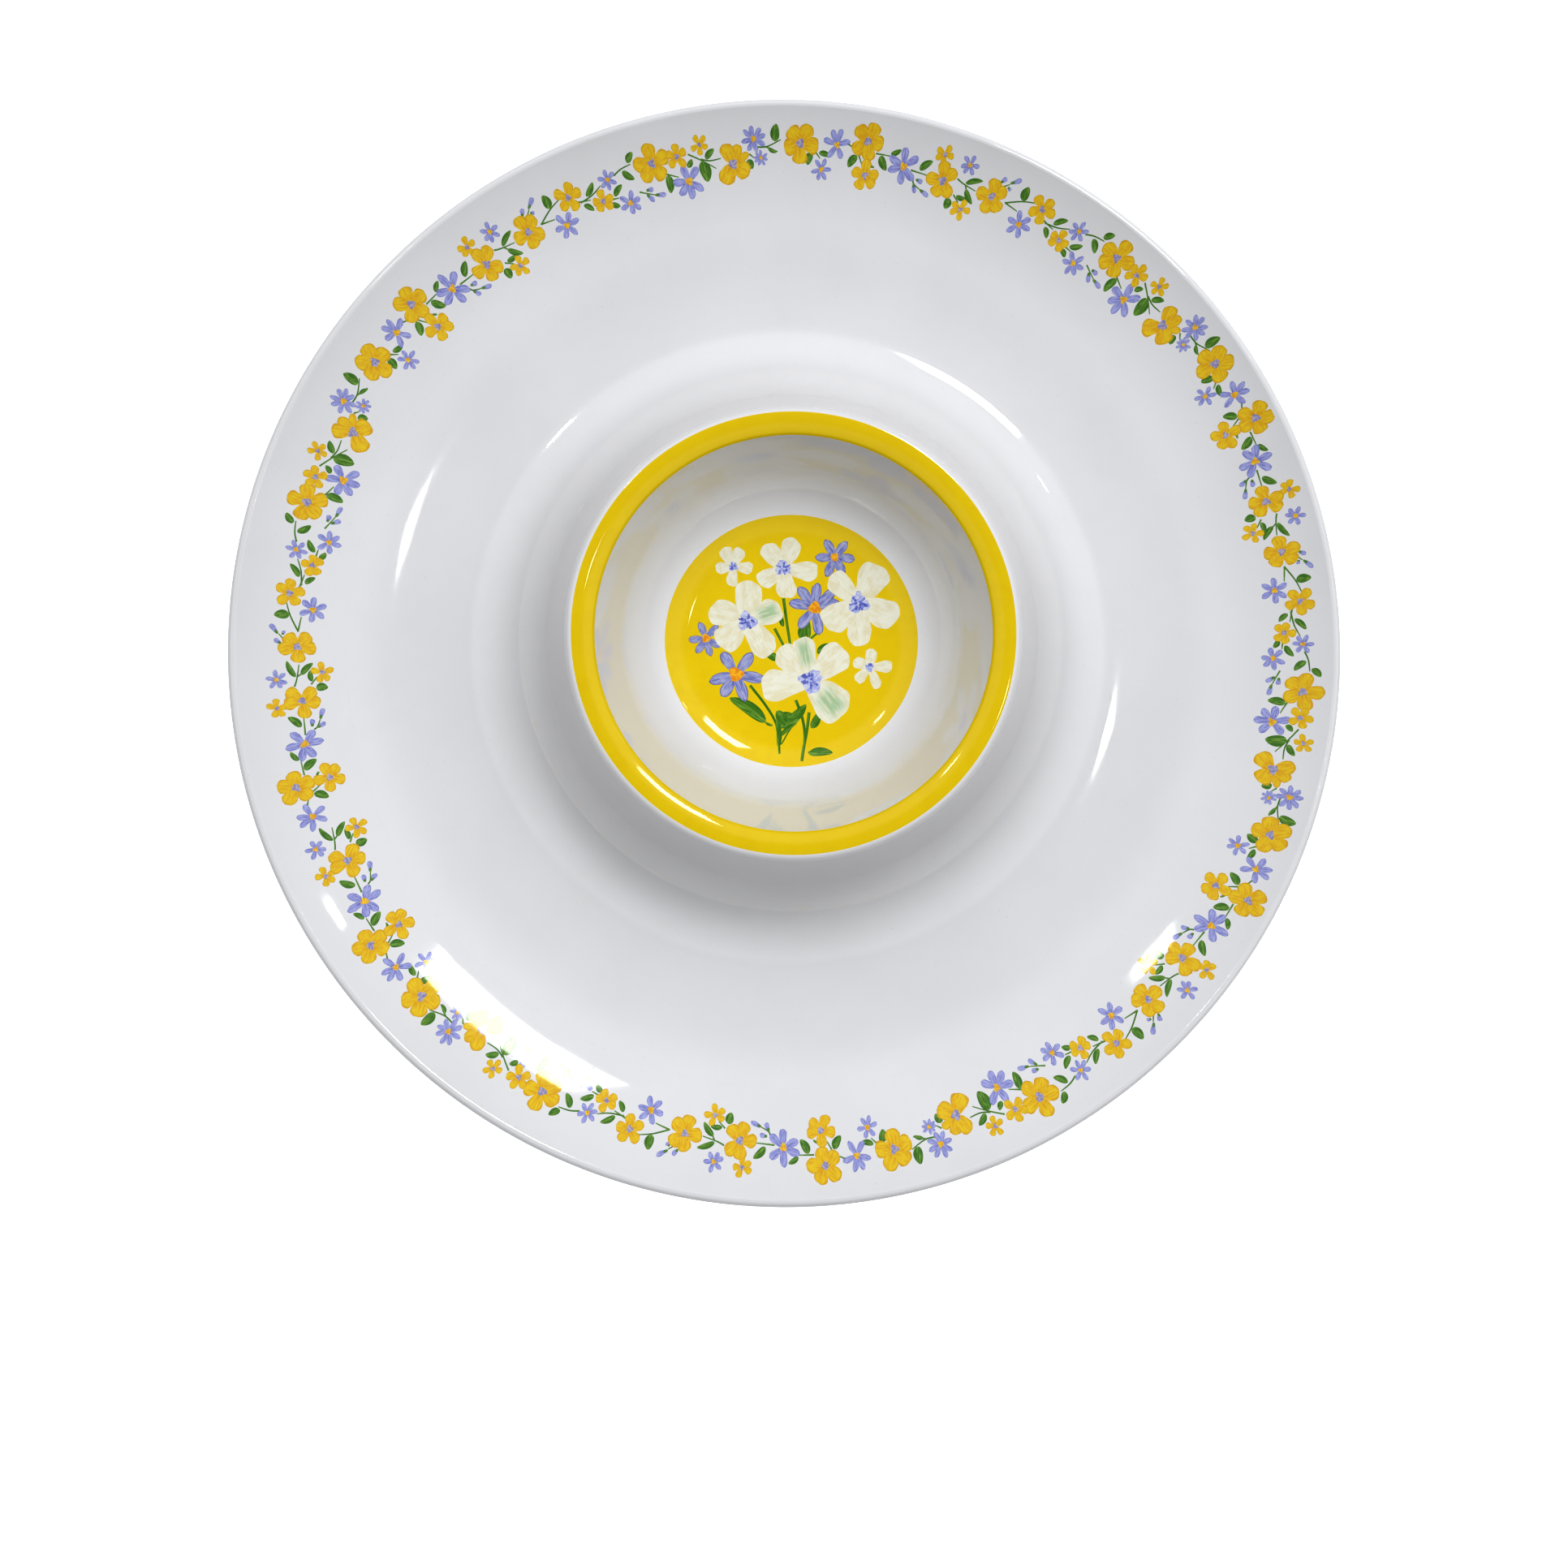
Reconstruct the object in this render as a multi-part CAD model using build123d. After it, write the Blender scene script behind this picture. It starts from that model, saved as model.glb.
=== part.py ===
from build123d import *
from math import asin, cos, degrees, radians, sin, sqrt
import os

# Chip and dip server, in millimetres. A round melamine dish with a raised, hollow
# pedestal at its centre, whose top is the rim of a dip bowl. All of that is one
# moulding. Three printed or coloured skins are pressed flush into its surface:
# the yellow band on the bowl's rim, the disc on the bowl's floor and the flower
# border on the dish's slope. The origin is at the centre of the foot's underside.

# Dish
DISH_DIAMETER = 355.6
DISH_CURVE_R = 135.0  # radius of the hollow face that runs out to the lip
DISH_VALLEY_Z = 5.5  # lowest line of the eating surface
DISH_BLEND_SLOPE = 3.0  # slope where the pedestal's flare runs into the dish
WALL = 3.0
SLOPE_WALL = 2.7  # wall just inside the lip
SLOPE_WALL_ANGLE = 30.0

# Lip round the dish: rolled over and turned slightly down
LIP_CREST_R = 1.8
LIP_TAPER = 10.0
LIP_SKIRT = 1.6
LIP_EDGE_R = 0.9

# Foot ring and the dish's underside
FOOT_OUTER_R = 101.0
FOOT_INNER_R = 96.5
FOOT_EDGE_R = 1.0
FOOT_ROOT_R = 1.5
UNDERSIDE_CURVE_R = 180.0

# Pedestal and the rim on top of it
TOTAL_HEIGHT = 43.0
CREST_R = 68.8
SHOULDER_R = 3.0
PEDESTAL_SLOPE = 67.0
FLARE_R = 30.0
LAND_CURVE_R = 16.0
LAND_SLOPE = 21.0  # slope at the land's inner edge, falling towards the bowl
RIM_INNER_R = 2.0
HOLLOW_TOP_R = 2.4  # rounding at the top of the space between bowl and pedestal

# Dip bowl
BOWL_FLOOR_Z = 9.5
BOWL_FLOOR_R = 31.5
BOWL_WALL_SLOPE = 67.0

# Printed and coloured skins, each with the clear coat over it
SKIN = 0.3
DISC_R = 41.5
BAND_OUTER_R = 69.2
BAND_LOWEST_Z = 41.1
BORDER_INNER_R = 144.0
BORDER_OUTER_R = 174.0

OUT = "parts"


def polar(centre, radius, angle):
    """The point at this angle, in degrees, on a circle in the section plane."""
    return Vector(centre.X + radius * cos(radians(angle)), centre.Y + radius * sin(radians(angle)))


def across(slope):
    """Unit normal of a line that rises at this slope, pointing down and outwards."""
    return Vector(sin(radians(slope)), -cos(radians(slope)))


def rim_centres():
    """Centres of the rim's three arcs: shoulder, land and inner edge."""
    shoulder = Vector(CREST_R, TOTAL_HEIGHT - SHOULDER_R)
    land = Vector(CREST_R, TOTAL_HEIGHT - LAND_CURVE_R)
    inner = polar(land, LAND_CURVE_R - RIM_INNER_R, 90 + LAND_SLOPE)
    return shoulder, land, inner


def bowl_corner():
    """Radius and centre of the arc that joins the bowl's floor to its straight wall."""
    inner = rim_centres()[2]
    top = polar(inner, RIM_INNER_R, 90 + BOWL_WALL_SLOPE)
    wall = across(BOWL_WALL_SLOPE)
    reach = (top - Vector(BOWL_FLOOR_R, BOWL_FLOOR_Z)).dot(wall)
    radius = reach / (1 + wall.Y)
    return radius, Vector(BOWL_FLOOR_R, BOWL_FLOOR_Z + radius)


def flare_centre():
    """Centre of the flare at the pedestal's foot, tangent to the pedestal's straight side."""
    shoulder = rim_centres()[0]
    tilt = 90 - PEDESTAL_SLOPE
    z = DISH_VALLEY_Z + FLARE_R
    line_start = polar(shoulder, SHOULDER_R + FLARE_R, tilt)
    drop = (line_start.Y - z) / cos(radians(tilt))
    return Vector(line_start.X + drop * sin(radians(tilt)), z)


def dish_centre():
    """Centre of the dish's hollow face, which the flare meets without a step."""
    return polar(flare_centre(), DISH_CURVE_R - FLARE_R, 90 + DISH_BLEND_SLOPE)


def lip_centre():
    """Centre of the lip's crest, tangent to the hollow face and to the dish's diameter."""
    dish = dish_centre()
    r = DISH_DIAMETER / 2 - LIP_CREST_R
    rise = sqrt((DISH_CURVE_R + LIP_CREST_R) ** 2 - (r - dish.X) ** 2)
    return Vector(r, dish.Y - rise)


def eating_side():
    """Outline of the upper surface, from the axis out to the lip's crest."""
    shoulder, land, inner = rim_centres()
    corner_r, corner = bowl_corner()
    lip = lip_centre()
    lip_slope = degrees(asin((lip.X - dish_centre().X) / (DISH_CURVE_R + LIP_CREST_R)))
    floor = Line((0, BOWL_FLOOR_Z), (BOWL_FLOOR_R, BOWL_FLOOR_Z))
    bowl = CenterArc(corner, corner_r, -90, BOWL_WALL_SLOPE)
    edge = CenterArc(inner, RIM_INNER_R, 90 + BOWL_WALL_SLOPE, LAND_SLOPE - BOWL_WALL_SLOPE)
    top = CenterArc(land, LAND_CURVE_R, 90 + LAND_SLOPE, -LAND_SLOPE)
    outer = CenterArc(shoulder, SHOULDER_R, 90, -PEDESTAL_SLOPE)
    flare = CenterArc(flare_centre(), FLARE_R, -90 - PEDESTAL_SLOPE, PEDESTAL_SLOPE + DISH_BLEND_SLOPE)
    dish = CenterArc(dish_centre(), DISH_CURVE_R, DISH_BLEND_SLOPE - 90, lip_slope - DISH_BLEND_SLOPE)
    crest = CenterArc(lip, LIP_CREST_R, 90 + lip_slope, -90 - lip_slope - LIP_TAPER)
    wall = Line(bowl @ 1, edge @ 0)
    side = Line(outer @ 1, flare @ 0)
    return [floor, bowl, wall, edge, top, outer, side, flare, dish, crest]


def hollow():
    """Outline of the space between bowl and pedestal, from the foot to the bowl's underside."""
    shoulder, _, inner = rim_centres()
    corner_r, corner = bowl_corner()
    flare = flare_centre()
    tilt = 90 - PEDESTAL_SLOPE
    side_normal = Vector(cos(radians(tilt)), sin(radians(tilt)))
    wall_normal = across(BOWL_WALL_SLOPE)
    side_offset = shoulder.dot(side_normal) + SHOULDER_R - WALL - HOLLOW_TOP_R
    wall_offset = inner.dot(wall_normal) - RIM_INNER_R + WALL + HOLLOW_TOP_R
    spread = side_normal.X * wall_normal.Y - side_normal.Y * wall_normal.X
    top_centre = Vector(
        (side_offset * wall_normal.Y - wall_offset * side_normal.Y) / spread,
        (wall_offset * side_normal.X - side_offset * wall_normal.X) / spread,
    )
    inside_r = FLARE_R + WALL
    start = -90 - degrees(asin((flare.X - FOOT_INNER_R) / inside_r))
    flare_back = CenterArc(flare, inside_r, start, -90 - PEDESTAL_SLOPE - start)
    crown = CenterArc(top_centre, HOLLOW_TOP_R, tilt, 90 + BOWL_WALL_SLOPE - tilt)
    bowl_back = CenterArc(corner, corner_r + WALL, BOWL_WALL_SLOPE - 90, -BOWL_WALL_SLOPE)
    side_back = Line(flare_back @ 1, crown @ 0)
    wall_back = Line(crown @ 1, bowl_back @ 0)
    floor_back = Line(bowl_back @ 1, (0, BOWL_FLOOR_Z - WALL))
    return [flare_back, side_back, crown, wall_back, bowl_back, floor_back]


def platter_section():
    """Half section of the whole moulding, in the radius and height plane."""
    upper = eating_side()
    under = hollow()
    lip = lip_centre()
    edge_centre = polar(lip, LIP_CREST_R - LIP_EDGE_R, -LIP_TAPER)
    edge_centre += Vector(-sin(radians(LIP_TAPER)), -cos(radians(LIP_TAPER))) * LIP_SKIRT
    lip_edge = CenterArc(edge_centre, LIP_EDGE_R, -LIP_TAPER, LIP_TAPER - 90)
    skirt = Line(upper[-1] @ 1, lip_edge @ 0)
    inside_lip = polar(dish_centre(), DISH_CURVE_R + SLOPE_WALL, SLOPE_WALL_ANGLE - 90)
    ledge_rise = (lip_edge @ 1).Y - inside_lip.Y
    ledge_run = ledge_rise / sin(radians(SLOPE_WALL_ANGLE)) * cos(radians(SLOPE_WALL_ANGLE))
    ledge_end = inside_lip + Vector(ledge_run, ledge_rise)
    ledge = Line(lip_edge @ 1, ledge_end)
    neck = Line(ledge_end, inside_lip)
    underside = RadiusArc(inside_lip, (FOOT_OUTER_R, 0), UNDERSIDE_CURVE_R)
    foot = Line((FOOT_OUTER_R, 0), (FOOT_INNER_R, 0))
    flank = Line((FOOT_INNER_R, 0), under[0] @ 0)
    axis = Line(under[-1] @ 1, (0, BOWL_FLOOR_Z))
    outline = Wire(upper + [skirt, lip_edge, ledge, neck, underside, foot, flank] + under + [axis])
    section = make_face(outline)
    foot_edge = section.vertices().sort_by_distance((FOOT_INNER_R, 0))[0]
    section = fillet(foot_edge, FOOT_EDGE_R)
    foot_root = section.vertices().sort_by_distance(under[0] @ 0)[0]
    return fillet(foot_root, FOOT_ROOT_R)


def skin_section(section, from_r, to_r, lowest_z):
    """Half section of a skin: the outermost SKIN of the moulding's upper face, in this range."""
    whole = section + mirror(section, about=Plane.YZ)
    core = offset(whole, amount=-SKIN, kind=Kind.INTERSECTION)
    window = Pos((from_r + to_r) / 2, lowest_z + TOTAL_HEIGHT) * Rectangle(to_r - from_r, 2 * TOTAL_HEIGHT)
    pieces = ((section - core) & window).faces()
    return pieces.sort_by(SortBy.AREA)[-1]


def turned(section):
    """The solid made by turning a half section about the object's axis."""
    return revolve(Plane.XZ * section, axis=Axis.Z, revolution_arc=360)


def rim_band_section(section):
    """Yellow band: the rim's land, from just past its crest down into the bowl's edge."""
    return skin_section(section, BOWL_FLOOR_R, BAND_OUTER_R, BAND_LOWEST_Z)


def bowl_floor_section(section):
    """Yellow disc with its bouquet, on the bowl's floor."""
    return skin_section(section, 0, DISC_R, BOWL_FLOOR_Z - WALL / 2)


def border_section(section):
    """Ring on the dish's slope that carries the printed flowers."""
    return skin_section(section, BORDER_INNER_R, BORDER_OUTER_R, 2 * DISH_VALLEY_Z)


def write(name, shape):
    """One STEP file for each piece."""
    shape.label = name
    export_step(shape, os.path.join(OUT, name + ".step"))
    print(f"{name}: {shape.volume:.0f} mm3, box {shape.bounding_box()}")


def main():
    os.makedirs("parts", exist_ok=True)
    section = platter_section()
    skins = {
        "rim_band": rim_band_section(section),
        "bowl_floor_disc": bowl_floor_section(section),
        "flower_border": border_section(section),
    }
    moulding = section
    for skin in skins.values():
        moulding = moulding - skin
    write("platter_body", turned(moulding))
    for name, skin in skins.items():
        write(name, turned(skin))


main()
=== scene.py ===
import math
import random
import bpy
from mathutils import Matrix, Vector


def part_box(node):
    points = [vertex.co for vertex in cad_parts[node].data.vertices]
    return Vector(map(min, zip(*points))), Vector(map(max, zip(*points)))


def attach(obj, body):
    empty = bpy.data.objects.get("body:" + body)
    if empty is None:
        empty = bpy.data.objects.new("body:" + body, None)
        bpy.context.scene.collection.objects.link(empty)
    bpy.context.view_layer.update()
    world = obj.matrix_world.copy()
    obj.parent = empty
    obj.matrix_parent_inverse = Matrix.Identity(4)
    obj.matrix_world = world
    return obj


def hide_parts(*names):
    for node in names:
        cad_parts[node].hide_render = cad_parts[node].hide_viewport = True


bl_info = {
    "name": "Chip and Dip Server",
    "version": (1, 0, 0),
    "blender": (4, 5, 0),
    "location": "View3D > Sidebar > Server",
    "description": "Round melamine chip and dip server with a printed border, and its studio",
    "category": "Add Mesh",
}

import bpy
import numpy as np
from bpy.props import FloatProperty, FloatVectorProperty, IntProperty, PointerProperty
from bpy.types import Operator, Panel, PropertyGroup
from mathutils import Matrix, Vector
from mathutils.geometry import delaunay_2d_cdt

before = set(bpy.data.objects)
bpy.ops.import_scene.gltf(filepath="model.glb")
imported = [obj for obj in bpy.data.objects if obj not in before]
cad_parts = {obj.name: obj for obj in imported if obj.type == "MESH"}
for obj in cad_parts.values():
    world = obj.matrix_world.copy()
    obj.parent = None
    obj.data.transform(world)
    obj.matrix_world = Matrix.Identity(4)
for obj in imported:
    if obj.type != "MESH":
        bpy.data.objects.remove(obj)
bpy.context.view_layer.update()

MM = 0.001
BODY = "root"

# Sizes that come straight from the moulded part, in millimetres
DISH_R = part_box("platter_body")[1].x / MM
RIM_TOP_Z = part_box("rim_band")[1].z / MM
BAND_OUTER_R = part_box("rim_band")[1].x / MM
BAND_LOWEST_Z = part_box("rim_band")[0].z / MM
DISC_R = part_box("bowl_floor_disc")[1].x / MM
BORDER_OUTER_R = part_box("flower_border")[1].x / MM

# ------------------------------------------------------------------ settings


def size(name, description, default):
    """A length in metres that a user may change."""
    return FloatProperty(name=name, description=description, default=default, unit="LENGTH")


def ink(name, description, default):
    """A colour that a user may change."""
    return FloatVectorProperty(
        name=name, description=description, subtype="COLOR", size=3, default=default
    )


def level(name, description, default):
    """A plain number that a user may change."""
    return FloatProperty(name=name, description=description, default=default)


class ServerShape(PropertyGroup):
    """Sizes of the moulding's section and of the films pressed into it."""

    dish_curve: size("Dish Curve", "Radius of the dish's hollow face", 0.135)
    dish_valley: size("Valley Height", "Lowest line of the chip tray", 0.0055)
    wall: size("Wall", "Thickness of the moulding", 0.003)
    crest_radius: size("Rim Crest", "Radius of the bowl rim's highest line", 0.0688)
    bowl_floor_radius: size("Bowl Floor", "Radius of the flat part of the bowl's floor", 0.0315)
    bowl_floor_height: size("Bowl Floor Height", "Height of the bowl's floor", 0.0095)
    film: size("Film", "Thickness of the printed films and their clear coat", 0.0003)
    border_inner: size("Border Inner Radius", "Inner radius of the printed border", 0.144)
    around: IntProperty(
        name="Steps Around", description="Divisions of a full turn", default=288, min=24
    )


class MelamineLook(PropertyGroup):
    """Colour and polish of the white moulding."""

    white: ink("White", "Body colour", (0.81, 0.804, 0.812))
    cream: ink("Cloud", "Faint clouding of the body colour", (0.79, 0.784, 0.790))
    polish: FloatProperty(
        name="Roughness", description="Roughness of the polished face", default=0.045,
        subtype="FACTOR",
    )


class PrintLook(PropertyGroup):
    """Inks of the band, the bowl's floor and the border, and where the border is centred."""

    ground_yellow: ink(
        "Ground Yellow", "Yellow of the rim and the bowl's floor", (0.84, 0.645, 0.001)
    )
    golden: ink("Golden", "Light yellow of the border's petals", (0.85, 0.635, 0.018))
    orange: ink("Orange", "Deep strokes of the border's yellow petals", (0.74, 0.40, 0.003))
    lilac: ink("Lilac", "Light lilac", (0.48, 0.50, 0.79))
    violet: ink("Violet", "Deep lilac strokes", (0.22, 0.23, 0.56))
    leaf: ink("Leaf", "Light green", (0.25, 0.43, 0.075))
    leaf_deep: ink("Deep Leaf", "Dark green", (0.055, 0.20, 0.010))
    petal_white: ink("Petal White", "White of the bouquet's petals", (0.87, 0.86, 0.75))
    print_x: size("Print Offset X", "How far the border sits off the dish's centre", 0.00273)
    print_y: size("Print Offset Y", "How far the border sits off the dish's centre", 0.0003)


class StudioSettings(PropertyGroup):
    """Camera, floor and lamps."""

    lens: level("Focal Length", "Camera lens in millimetres", 41.42)
    shift_x: level("Shift X", "Sideways framing", -0.0300)
    shift_y: level("Shift Y", "Upright framing", -0.1019)
    camera_at: FloatVectorProperty(
        name="Camera", description="Where the camera stands", subtype="TRANSLATION", size=3,
        default=(-0.01895, -0.0565, 0.6),
    )
    camera_aim: FloatVectorProperty(
        name="Aim", description="Direction the camera looks in", subtype="DIRECTION", size=3,
        default=(0.05409, 0.10497, -1.0),
    )
    sky_low: level("Room", "Light from the room's dim side", 0.29)
    sky_high: level("Ceiling", "Light from the room's bright side", 1.46)
    key_radiance: level("Key", "Brightness of the softbox's face", 24.0)
    contrast: level("Gamma", "Gamma of the finished picture", 0.72)
    floor_glow: level("Floor Glow", "Light given by the lit table", 0.22)


# ------------------------------------------------------------------ section

# Longest step along an outline in millimetres, and widest turn between steps in degrees
LONGEST_STEP = 2.5
WIDEST_TURN = 7.5


def polar(centre, radius, degrees):
    """The point at this angle on a circle in the section plane."""
    a = math.radians(degrees)
    return (centre[0] + radius * math.cos(a), centre[1] + radius * math.sin(a))


def line_run(start, end):
    """A straight run of the outline, with the outside on its left."""
    dr, dz = end[0] - start[0], end[1] - start[1]
    length = math.hypot(dr, dz)
    normal = (-dz / length, dr / length)
    pieces = max(1, math.ceil(length / LONGEST_STEP))
    return [
        (start[0] + dr * i / pieces, start[1] + dz * i / pieces, *normal) for i in range(pieces + 1)
    ]


def arc_run(centre, radius, start, end):
    """A round run of the outline from one angle to another, with the outside on its left."""
    sweep = end - start
    length = abs(math.radians(sweep)) * radius
    pieces = max(2, math.ceil(abs(sweep) / WIDEST_TURN), math.ceil(length / LONGEST_STEP))
    side = -1.0 if sweep > 0 else 1.0
    run = []
    for i in range(pieces + 1):
        a = math.radians(start + sweep * i / pieces)
        c, s = math.cos(a), math.sin(a)
        run.append((centre[0] + radius * c, centre[1] + radius * s, side * c, side * s))
    return run


class Section:
    """The moulding's half section, from the same tangent arcs as the solid part."""

    DISH_BLEND = 3.0
    BOWL_WALL = 67.0
    LAND_SLOPE = 21.0
    LAND_R = 16.0
    SHOULDER_R = 3.0
    RIM_INNER_R = 2.0
    PEDESTAL_SLOPE = 67.0
    FLARE_R = 30.0
    LIP_R = 1.8
    LIP_TAPER = 10.0
    LIP_SKIRT = 1.6
    LIP_EDGE_R = 0.9
    SLOPE_WALL = 2.7
    SLOPE_WALL_ANGLE = 30.0
    FOOT_OUTER_R = 101.0
    FOOT_INNER_R = 96.5
    FOOT_EDGE_R = 1.0
    FOOT_ROOT_R = 1.5
    UNDERSIDE_R = 180.0
    HOLLOW_TOP_R = 2.4

    def __init__(self, shape):
        self.dish_r = shape.dish_curve / MM
        self.wall = shape.wall / MM
        self.film = shape.film / MM
        self.border_inner = shape.border_inner / MM
        self.floor_r = shape.bowl_floor_radius / MM
        self.floor_z = shape.bowl_floor_height / MM
        crest = shape.crest_radius / MM
        self.shoulder = (crest, RIM_TOP_Z - self.SHOULDER_R)
        self.land = (crest, RIM_TOP_Z - self.LAND_R)
        self.inner = polar(self.land, self.LAND_R - self.RIM_INNER_R, 90 + self.LAND_SLOPE)
        top = polar(self.inner, self.RIM_INNER_R, 90 + self.BOWL_WALL)
        slope = math.radians(self.BOWL_WALL)
        reach = (top[0] - self.floor_r) * math.sin(slope)
        reach -= (top[1] - self.floor_z) * math.cos(slope)
        self.corner_r = reach / (1 - math.cos(slope))
        self.corner = (self.floor_r, self.floor_z + self.corner_r)
        tilt = math.radians(90 - self.PEDESTAL_SLOPE)
        flare_z = shape.dish_valley / MM + self.FLARE_R
        start = polar(self.shoulder, self.SHOULDER_R + self.FLARE_R, 90 - self.PEDESTAL_SLOPE)
        self.flare = (start[0] + (start[1] - flare_z) * math.tan(tilt), flare_z)
        self.dish = polar(self.flare, self.dish_r - self.FLARE_R, 90 + self.DISH_BLEND)
        lip_r = DISH_R - self.LIP_R
        reach = self.dish_r + self.LIP_R
        self.lip = (lip_r, self.dish[1] - math.sqrt(reach**2 - (lip_r - self.dish[0]) ** 2))
        self.lip_angle = math.degrees(math.asin((lip_r - self.dish[0]) / reach)) - 90
        self.disc_angle = self.on_corner(DISC_R)
        band_rise = (BAND_LOWEST_Z - self.inner[1]) / self.RIM_INNER_R
        self.band_in = 180 - math.degrees(math.asin(band_rise))
        self.band_out = math.degrees(math.acos((BAND_OUTER_R - crest) / self.SHOULDER_R))
        self.border_in = self.on_dish(self.border_inner)
        self.border_out = self.on_dish(BORDER_OUTER_R)

    def on_dish(self, radius):
        """Angle on the dish's arc at this distance from the axis."""
        return math.degrees(math.asin((radius - self.dish[0]) / self.dish_r)) - 90

    def on_corner(self, radius):
        """Angle on the bowl's arc at this distance from the axis."""
        return math.degrees(math.asin((radius - self.floor_r) / self.corner_r)) - 90

    def rim_runs(self, sink):
        """The land and the rounds on both sides of it, sunk below the surface by this much."""
        return [
            arc_run(self.inner, self.RIM_INNER_R - sink, self.band_in, 90 + self.LAND_SLOPE),
            arc_run(self.land, self.LAND_R - sink, 90 + self.LAND_SLOPE, 90),
            arc_run(self.shoulder, self.SHOULDER_R - sink, 90, self.band_out),
        ]

    def upper_runs(self):
        """The eating side from the axis to the lip, with the three shallow seats for the films."""
        deep = self.film
        seat_z = self.floor_z - deep
        runs = [
            line_run((0, seat_z), (self.floor_r, seat_z)),
            arc_run(self.corner, self.corner_r + deep, -90, self.disc_angle),
        ]
        corner_up = arc_run(self.corner, self.corner_r, self.disc_angle, self.BOWL_WALL - 90)
        edge = arc_run(self.inner, self.RIM_INNER_R, 90 + self.BOWL_WALL, self.band_in)
        runs += self.joined(runs[-1], corner_up)
        runs += self.joined(corner_up, edge)
        seat = self.rim_runs(deep)
        runs += [line_run(edge[-1][:2], seat[0][0][:2]), *seat]
        outer = arc_run(self.shoulder, self.SHOULDER_R, self.band_out, 90 - self.PEDESTAL_SLOPE)
        runs += self.joined(seat[-1], outer)
        flare = arc_run(self.flare, self.FLARE_R, -90 - self.PEDESTAL_SLOPE, self.DISH_BLEND - 90)
        runs += self.joined(outer, flare)
        runs.append(arc_run(self.dish, self.dish_r, self.DISH_BLEND - 90, self.border_in))
        slope_seat = arc_run(self.dish, self.dish_r + deep, self.border_in, self.border_out)
        runs += self.joined(runs[-1], slope_seat)
        outside = arc_run(self.dish, self.dish_r, self.border_out, self.lip_angle)
        runs += self.joined(slope_seat, outside)
        return runs

    @staticmethod
    def joined(before, after):
        """A straight run from the end of one run to the start of the next, then that next run."""
        return [line_run(before[-1][:2], after[0][:2]), after]

    def under_runs(self):
        """The lip, the underside, the foot and the hollow under the bowl, back to the axis."""
        return self.lip_runs() + self.belly_runs() + self.hollow_runs()

    def inside_slope(self):
        """Where the straight back of the slope ends and the rounded underside begins."""
        return polar(self.dish, self.dish_r + self.SLOPE_WALL, self.SLOPE_WALL_ANGLE - 90)

    def lip_runs(self):
        """Over the rolled lip, down its skirt and back in under the slope."""
        crest = arc_run(self.lip, self.LIP_R, self.lip_angle + 180, -self.LIP_TAPER)
        taper = math.radians(self.LIP_TAPER)
        edge = polar(self.lip, self.LIP_R - self.LIP_EDGE_R, -self.LIP_TAPER)
        skirt = self.LIP_SKIRT
        edge = (edge[0] - math.sin(taper) * skirt, edge[1] - math.cos(taper) * skirt)
        lip_edge = arc_run(edge, self.LIP_EDGE_R, -self.LIP_TAPER, -90)
        inside = self.inside_slope()
        rise = lip_edge[-1][1] - inside[1]
        across = rise / math.tan(math.radians(self.SLOPE_WALL_ANGLE))
        ledge = (inside[0] + across, lip_edge[-1][1])
        runs = [crest, *self.joined(crest, lip_edge)]
        return [*runs, line_run(lip_edge[-1][:2], ledge), line_run(ledge, inside)]

    def belly_runs(self):
        """The rounded underside from the slope to the foot."""
        inside = self.inside_slope()
        foot = (self.FOOT_OUTER_R, 0.0)
        middle = ((inside[0] + foot[0]) / 2, (inside[1] + foot[1]) / 2)
        half = math.dist(inside, foot) / 2
        away = math.sqrt(self.UNDERSIDE_R**2 - half**2)
        across = ((foot[1] - inside[1]) / (2 * half), (inside[0] - foot[0]) / (2 * half))
        belly = (middle[0] + across[0] * away, middle[1] + across[1] * away)
        start, end = (
            math.degrees(math.atan2(p[1] - belly[1], p[0] - belly[0])) for p in (inside, foot)
        )
        return [arc_run(belly, self.UNDERSIDE_R, start, end)]

    def hollow_runs(self):
        """The foot ring, then the back of the pedestal, its crown and the back of the bowl."""
        flare_back = self.FLARE_R + self.wall
        foot_edge = (self.FOOT_INNER_R + self.FOOT_EDGE_R, self.FOOT_EDGE_R)
        root_r = self.FOOT_INNER_R - self.FOOT_ROOT_R
        root_reach = flare_back + self.FOOT_ROOT_R
        root_drop = math.sqrt(root_reach**2 - (self.flare[0] - root_r) ** 2)
        root_angle = math.degrees(math.atan2(root_drop, self.flare[0] - root_r))
        tilt = 90 - self.PEDESTAL_SLOPE
        foot_round = arc_run(foot_edge, self.FOOT_EDGE_R, -90, -180)
        root = (root_r, self.flare[1] - root_drop)
        foot_root = arc_run(root, self.FOOT_ROOT_R, 0, root_angle)
        back = arc_run(self.flare, flare_back, root_angle - 180, -90 - self.PEDESTAL_SLOPE)
        top = arc_run(self.hollow_crown(), self.HOLLOW_TOP_R, tilt, 90 + self.BOWL_WALL)
        bowl_back = arc_run(self.corner, self.corner_r + self.wall, self.BOWL_WALL - 90, -90)
        runs = [line_run((self.FOOT_OUTER_R, 0.0), foot_round[0][:2]), foot_round]
        runs += [*self.joined(foot_round, foot_root), back]
        runs += [*self.joined(back, top), *self.joined(top, bowl_back)]
        return [*runs, line_run(bowl_back[-1][:2], (0, self.floor_z - self.wall))]

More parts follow.
